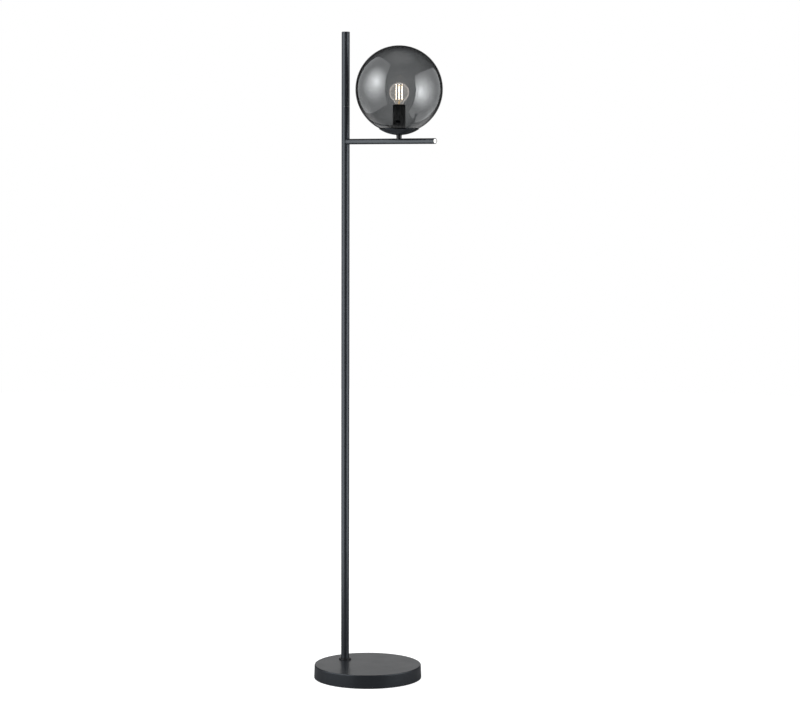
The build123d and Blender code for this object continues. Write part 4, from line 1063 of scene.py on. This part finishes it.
def envelope(inset):
    """The bulb's outline from the tail to the top, drawn in by inset."""
    r = bulb_r - inset
    join = (r * sin(SHOULDER), bulb_z - r * cos(SHOULDER))
    neck = bulb_cap_r + 0.9 - inset
    tail = bulb_cap_r - 0.35 - inset
    line = softened([(tail, tail_z), (tail, cap_high + 0.3), (neck, cap_high + 1.2), (neck + 0.3, cap_high + 3.6), join,
                     (join[0] + 3 * cos(SHOULDER), join[1] + 3 * sin(SHOULDER))],
                    (0, 0.3, 0.6, 5.0, 4.5, 0), closed=False, steps=8)[:-1]
    first = atan2(line[-1][1] - bulb_z, line[-1][0])
    ball = arc(bulb_z, r, max(first, SHOULDER - pi / 2) + 0.08, pi / 2, 56)
    return [point for point in line if point[1] < bulb_z] + ball


outline = envelope(0.0) + list(reversed(envelope(BULB_WALL)))
mesh = bmesh.new()
turn_into(mesh, outline, x=globe_x, steps=112)
bmesh.ops.dissolve_degenerate(mesh, dist=1e-7, edges=mesh.edges)
stands_for(as_piece("bulb_envelope", mesh, 45), "bulb_glass")

# %% Glass stem
stem_r, stem_low, stem_top = measure("bulb_stem")[1:]
ROD_OVER, STRIP_L, BEAD_UNDER = 1.0, 30.0, 5.0  # the rod's end over the strips, the strips, the bead under them
bead = stem_top - ROD_OVER - STRIP_L - BEAD_UNDER
outline = softened(
    [(0, stem_low), (stem_r, stem_low), (stem_r, stem_low + 1), (2.4, stem_low + 5), (1.5, bead - 3), (2.1, bead - 1),
     (2.1, bead), (1.2, bead + 1.2), (0.6, bead + 1.4), (0.6, stem_top), (0, stem_top)],
    (0, 0, 0.4, 3.0, 2.0, 0.6, 0.8, 0.3, 0.3, 0.3, 0), closed=False)
stem = turned("bulb_glass_stem", outline, x=globe_x, steps=48, ring=False, sharp=60)
stands_for(stem, "bulb_stem", look="stem_glass")

# %% [markdown]
# Four strips stand in a ring round the stem. Each has a small metal clip at its foot where the wire is welded on.
# At the top a wire ring joins them, and their tips come out above it.

# %% Filaments in the bulb
filament_low, filament_high = measure("bulb_filaments")[2:]
RING_R, STRIP_R, CLIP_R, WIRE_R = 6.6, 1.0, 1.1, 0.45


def four_rods(mesh, radius, low, high):
    """Add a rod with rounded ends at the place of each strip."""
    outline = softened([(0, low), (radius, low), (radius, high), (0, high)], (0, 0.5, 0.5, 0), closed=False)
    for angle in (44, 134, 224, 314):
        x, y = globe_x + RING_R * cos(radians(angle)), RING_R * sin(radians(angle))
        turn_into(mesh, outline, x=x, y=y, steps=20, ring=False)


mesh = bmesh.new()
four_rods(mesh, STRIP_R, filament_low, filament_high)
four_rods(mesh, STRIP_R - 0.1, filament_high + 2.3, filament_high + 4.4)
stands_for(as_piece("lit_filaments", mesh, 60), "bulb_filaments")

mesh = bmesh.new()
four_rods(mesh, CLIP_R, filament_low - 1.2, filament_low + 0.6)
wire = [(WIRE_R * cos(radians(45 * n)), WIRE_R * sin(radians(45 * n))) for n in range(8)]
turn_into(mesh, [(RING_R + r, filament_high + 1.2 + z) for r, z in wire], x=globe_x, steps=48)
clips = as_piece("filament_clips", mesh, 60)
# The clips share the wire finish with its painted glow.
wear_finish(clips, "support_wire")
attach(clips, "bulb")
print("4 clips at the foot and the ring near the top")
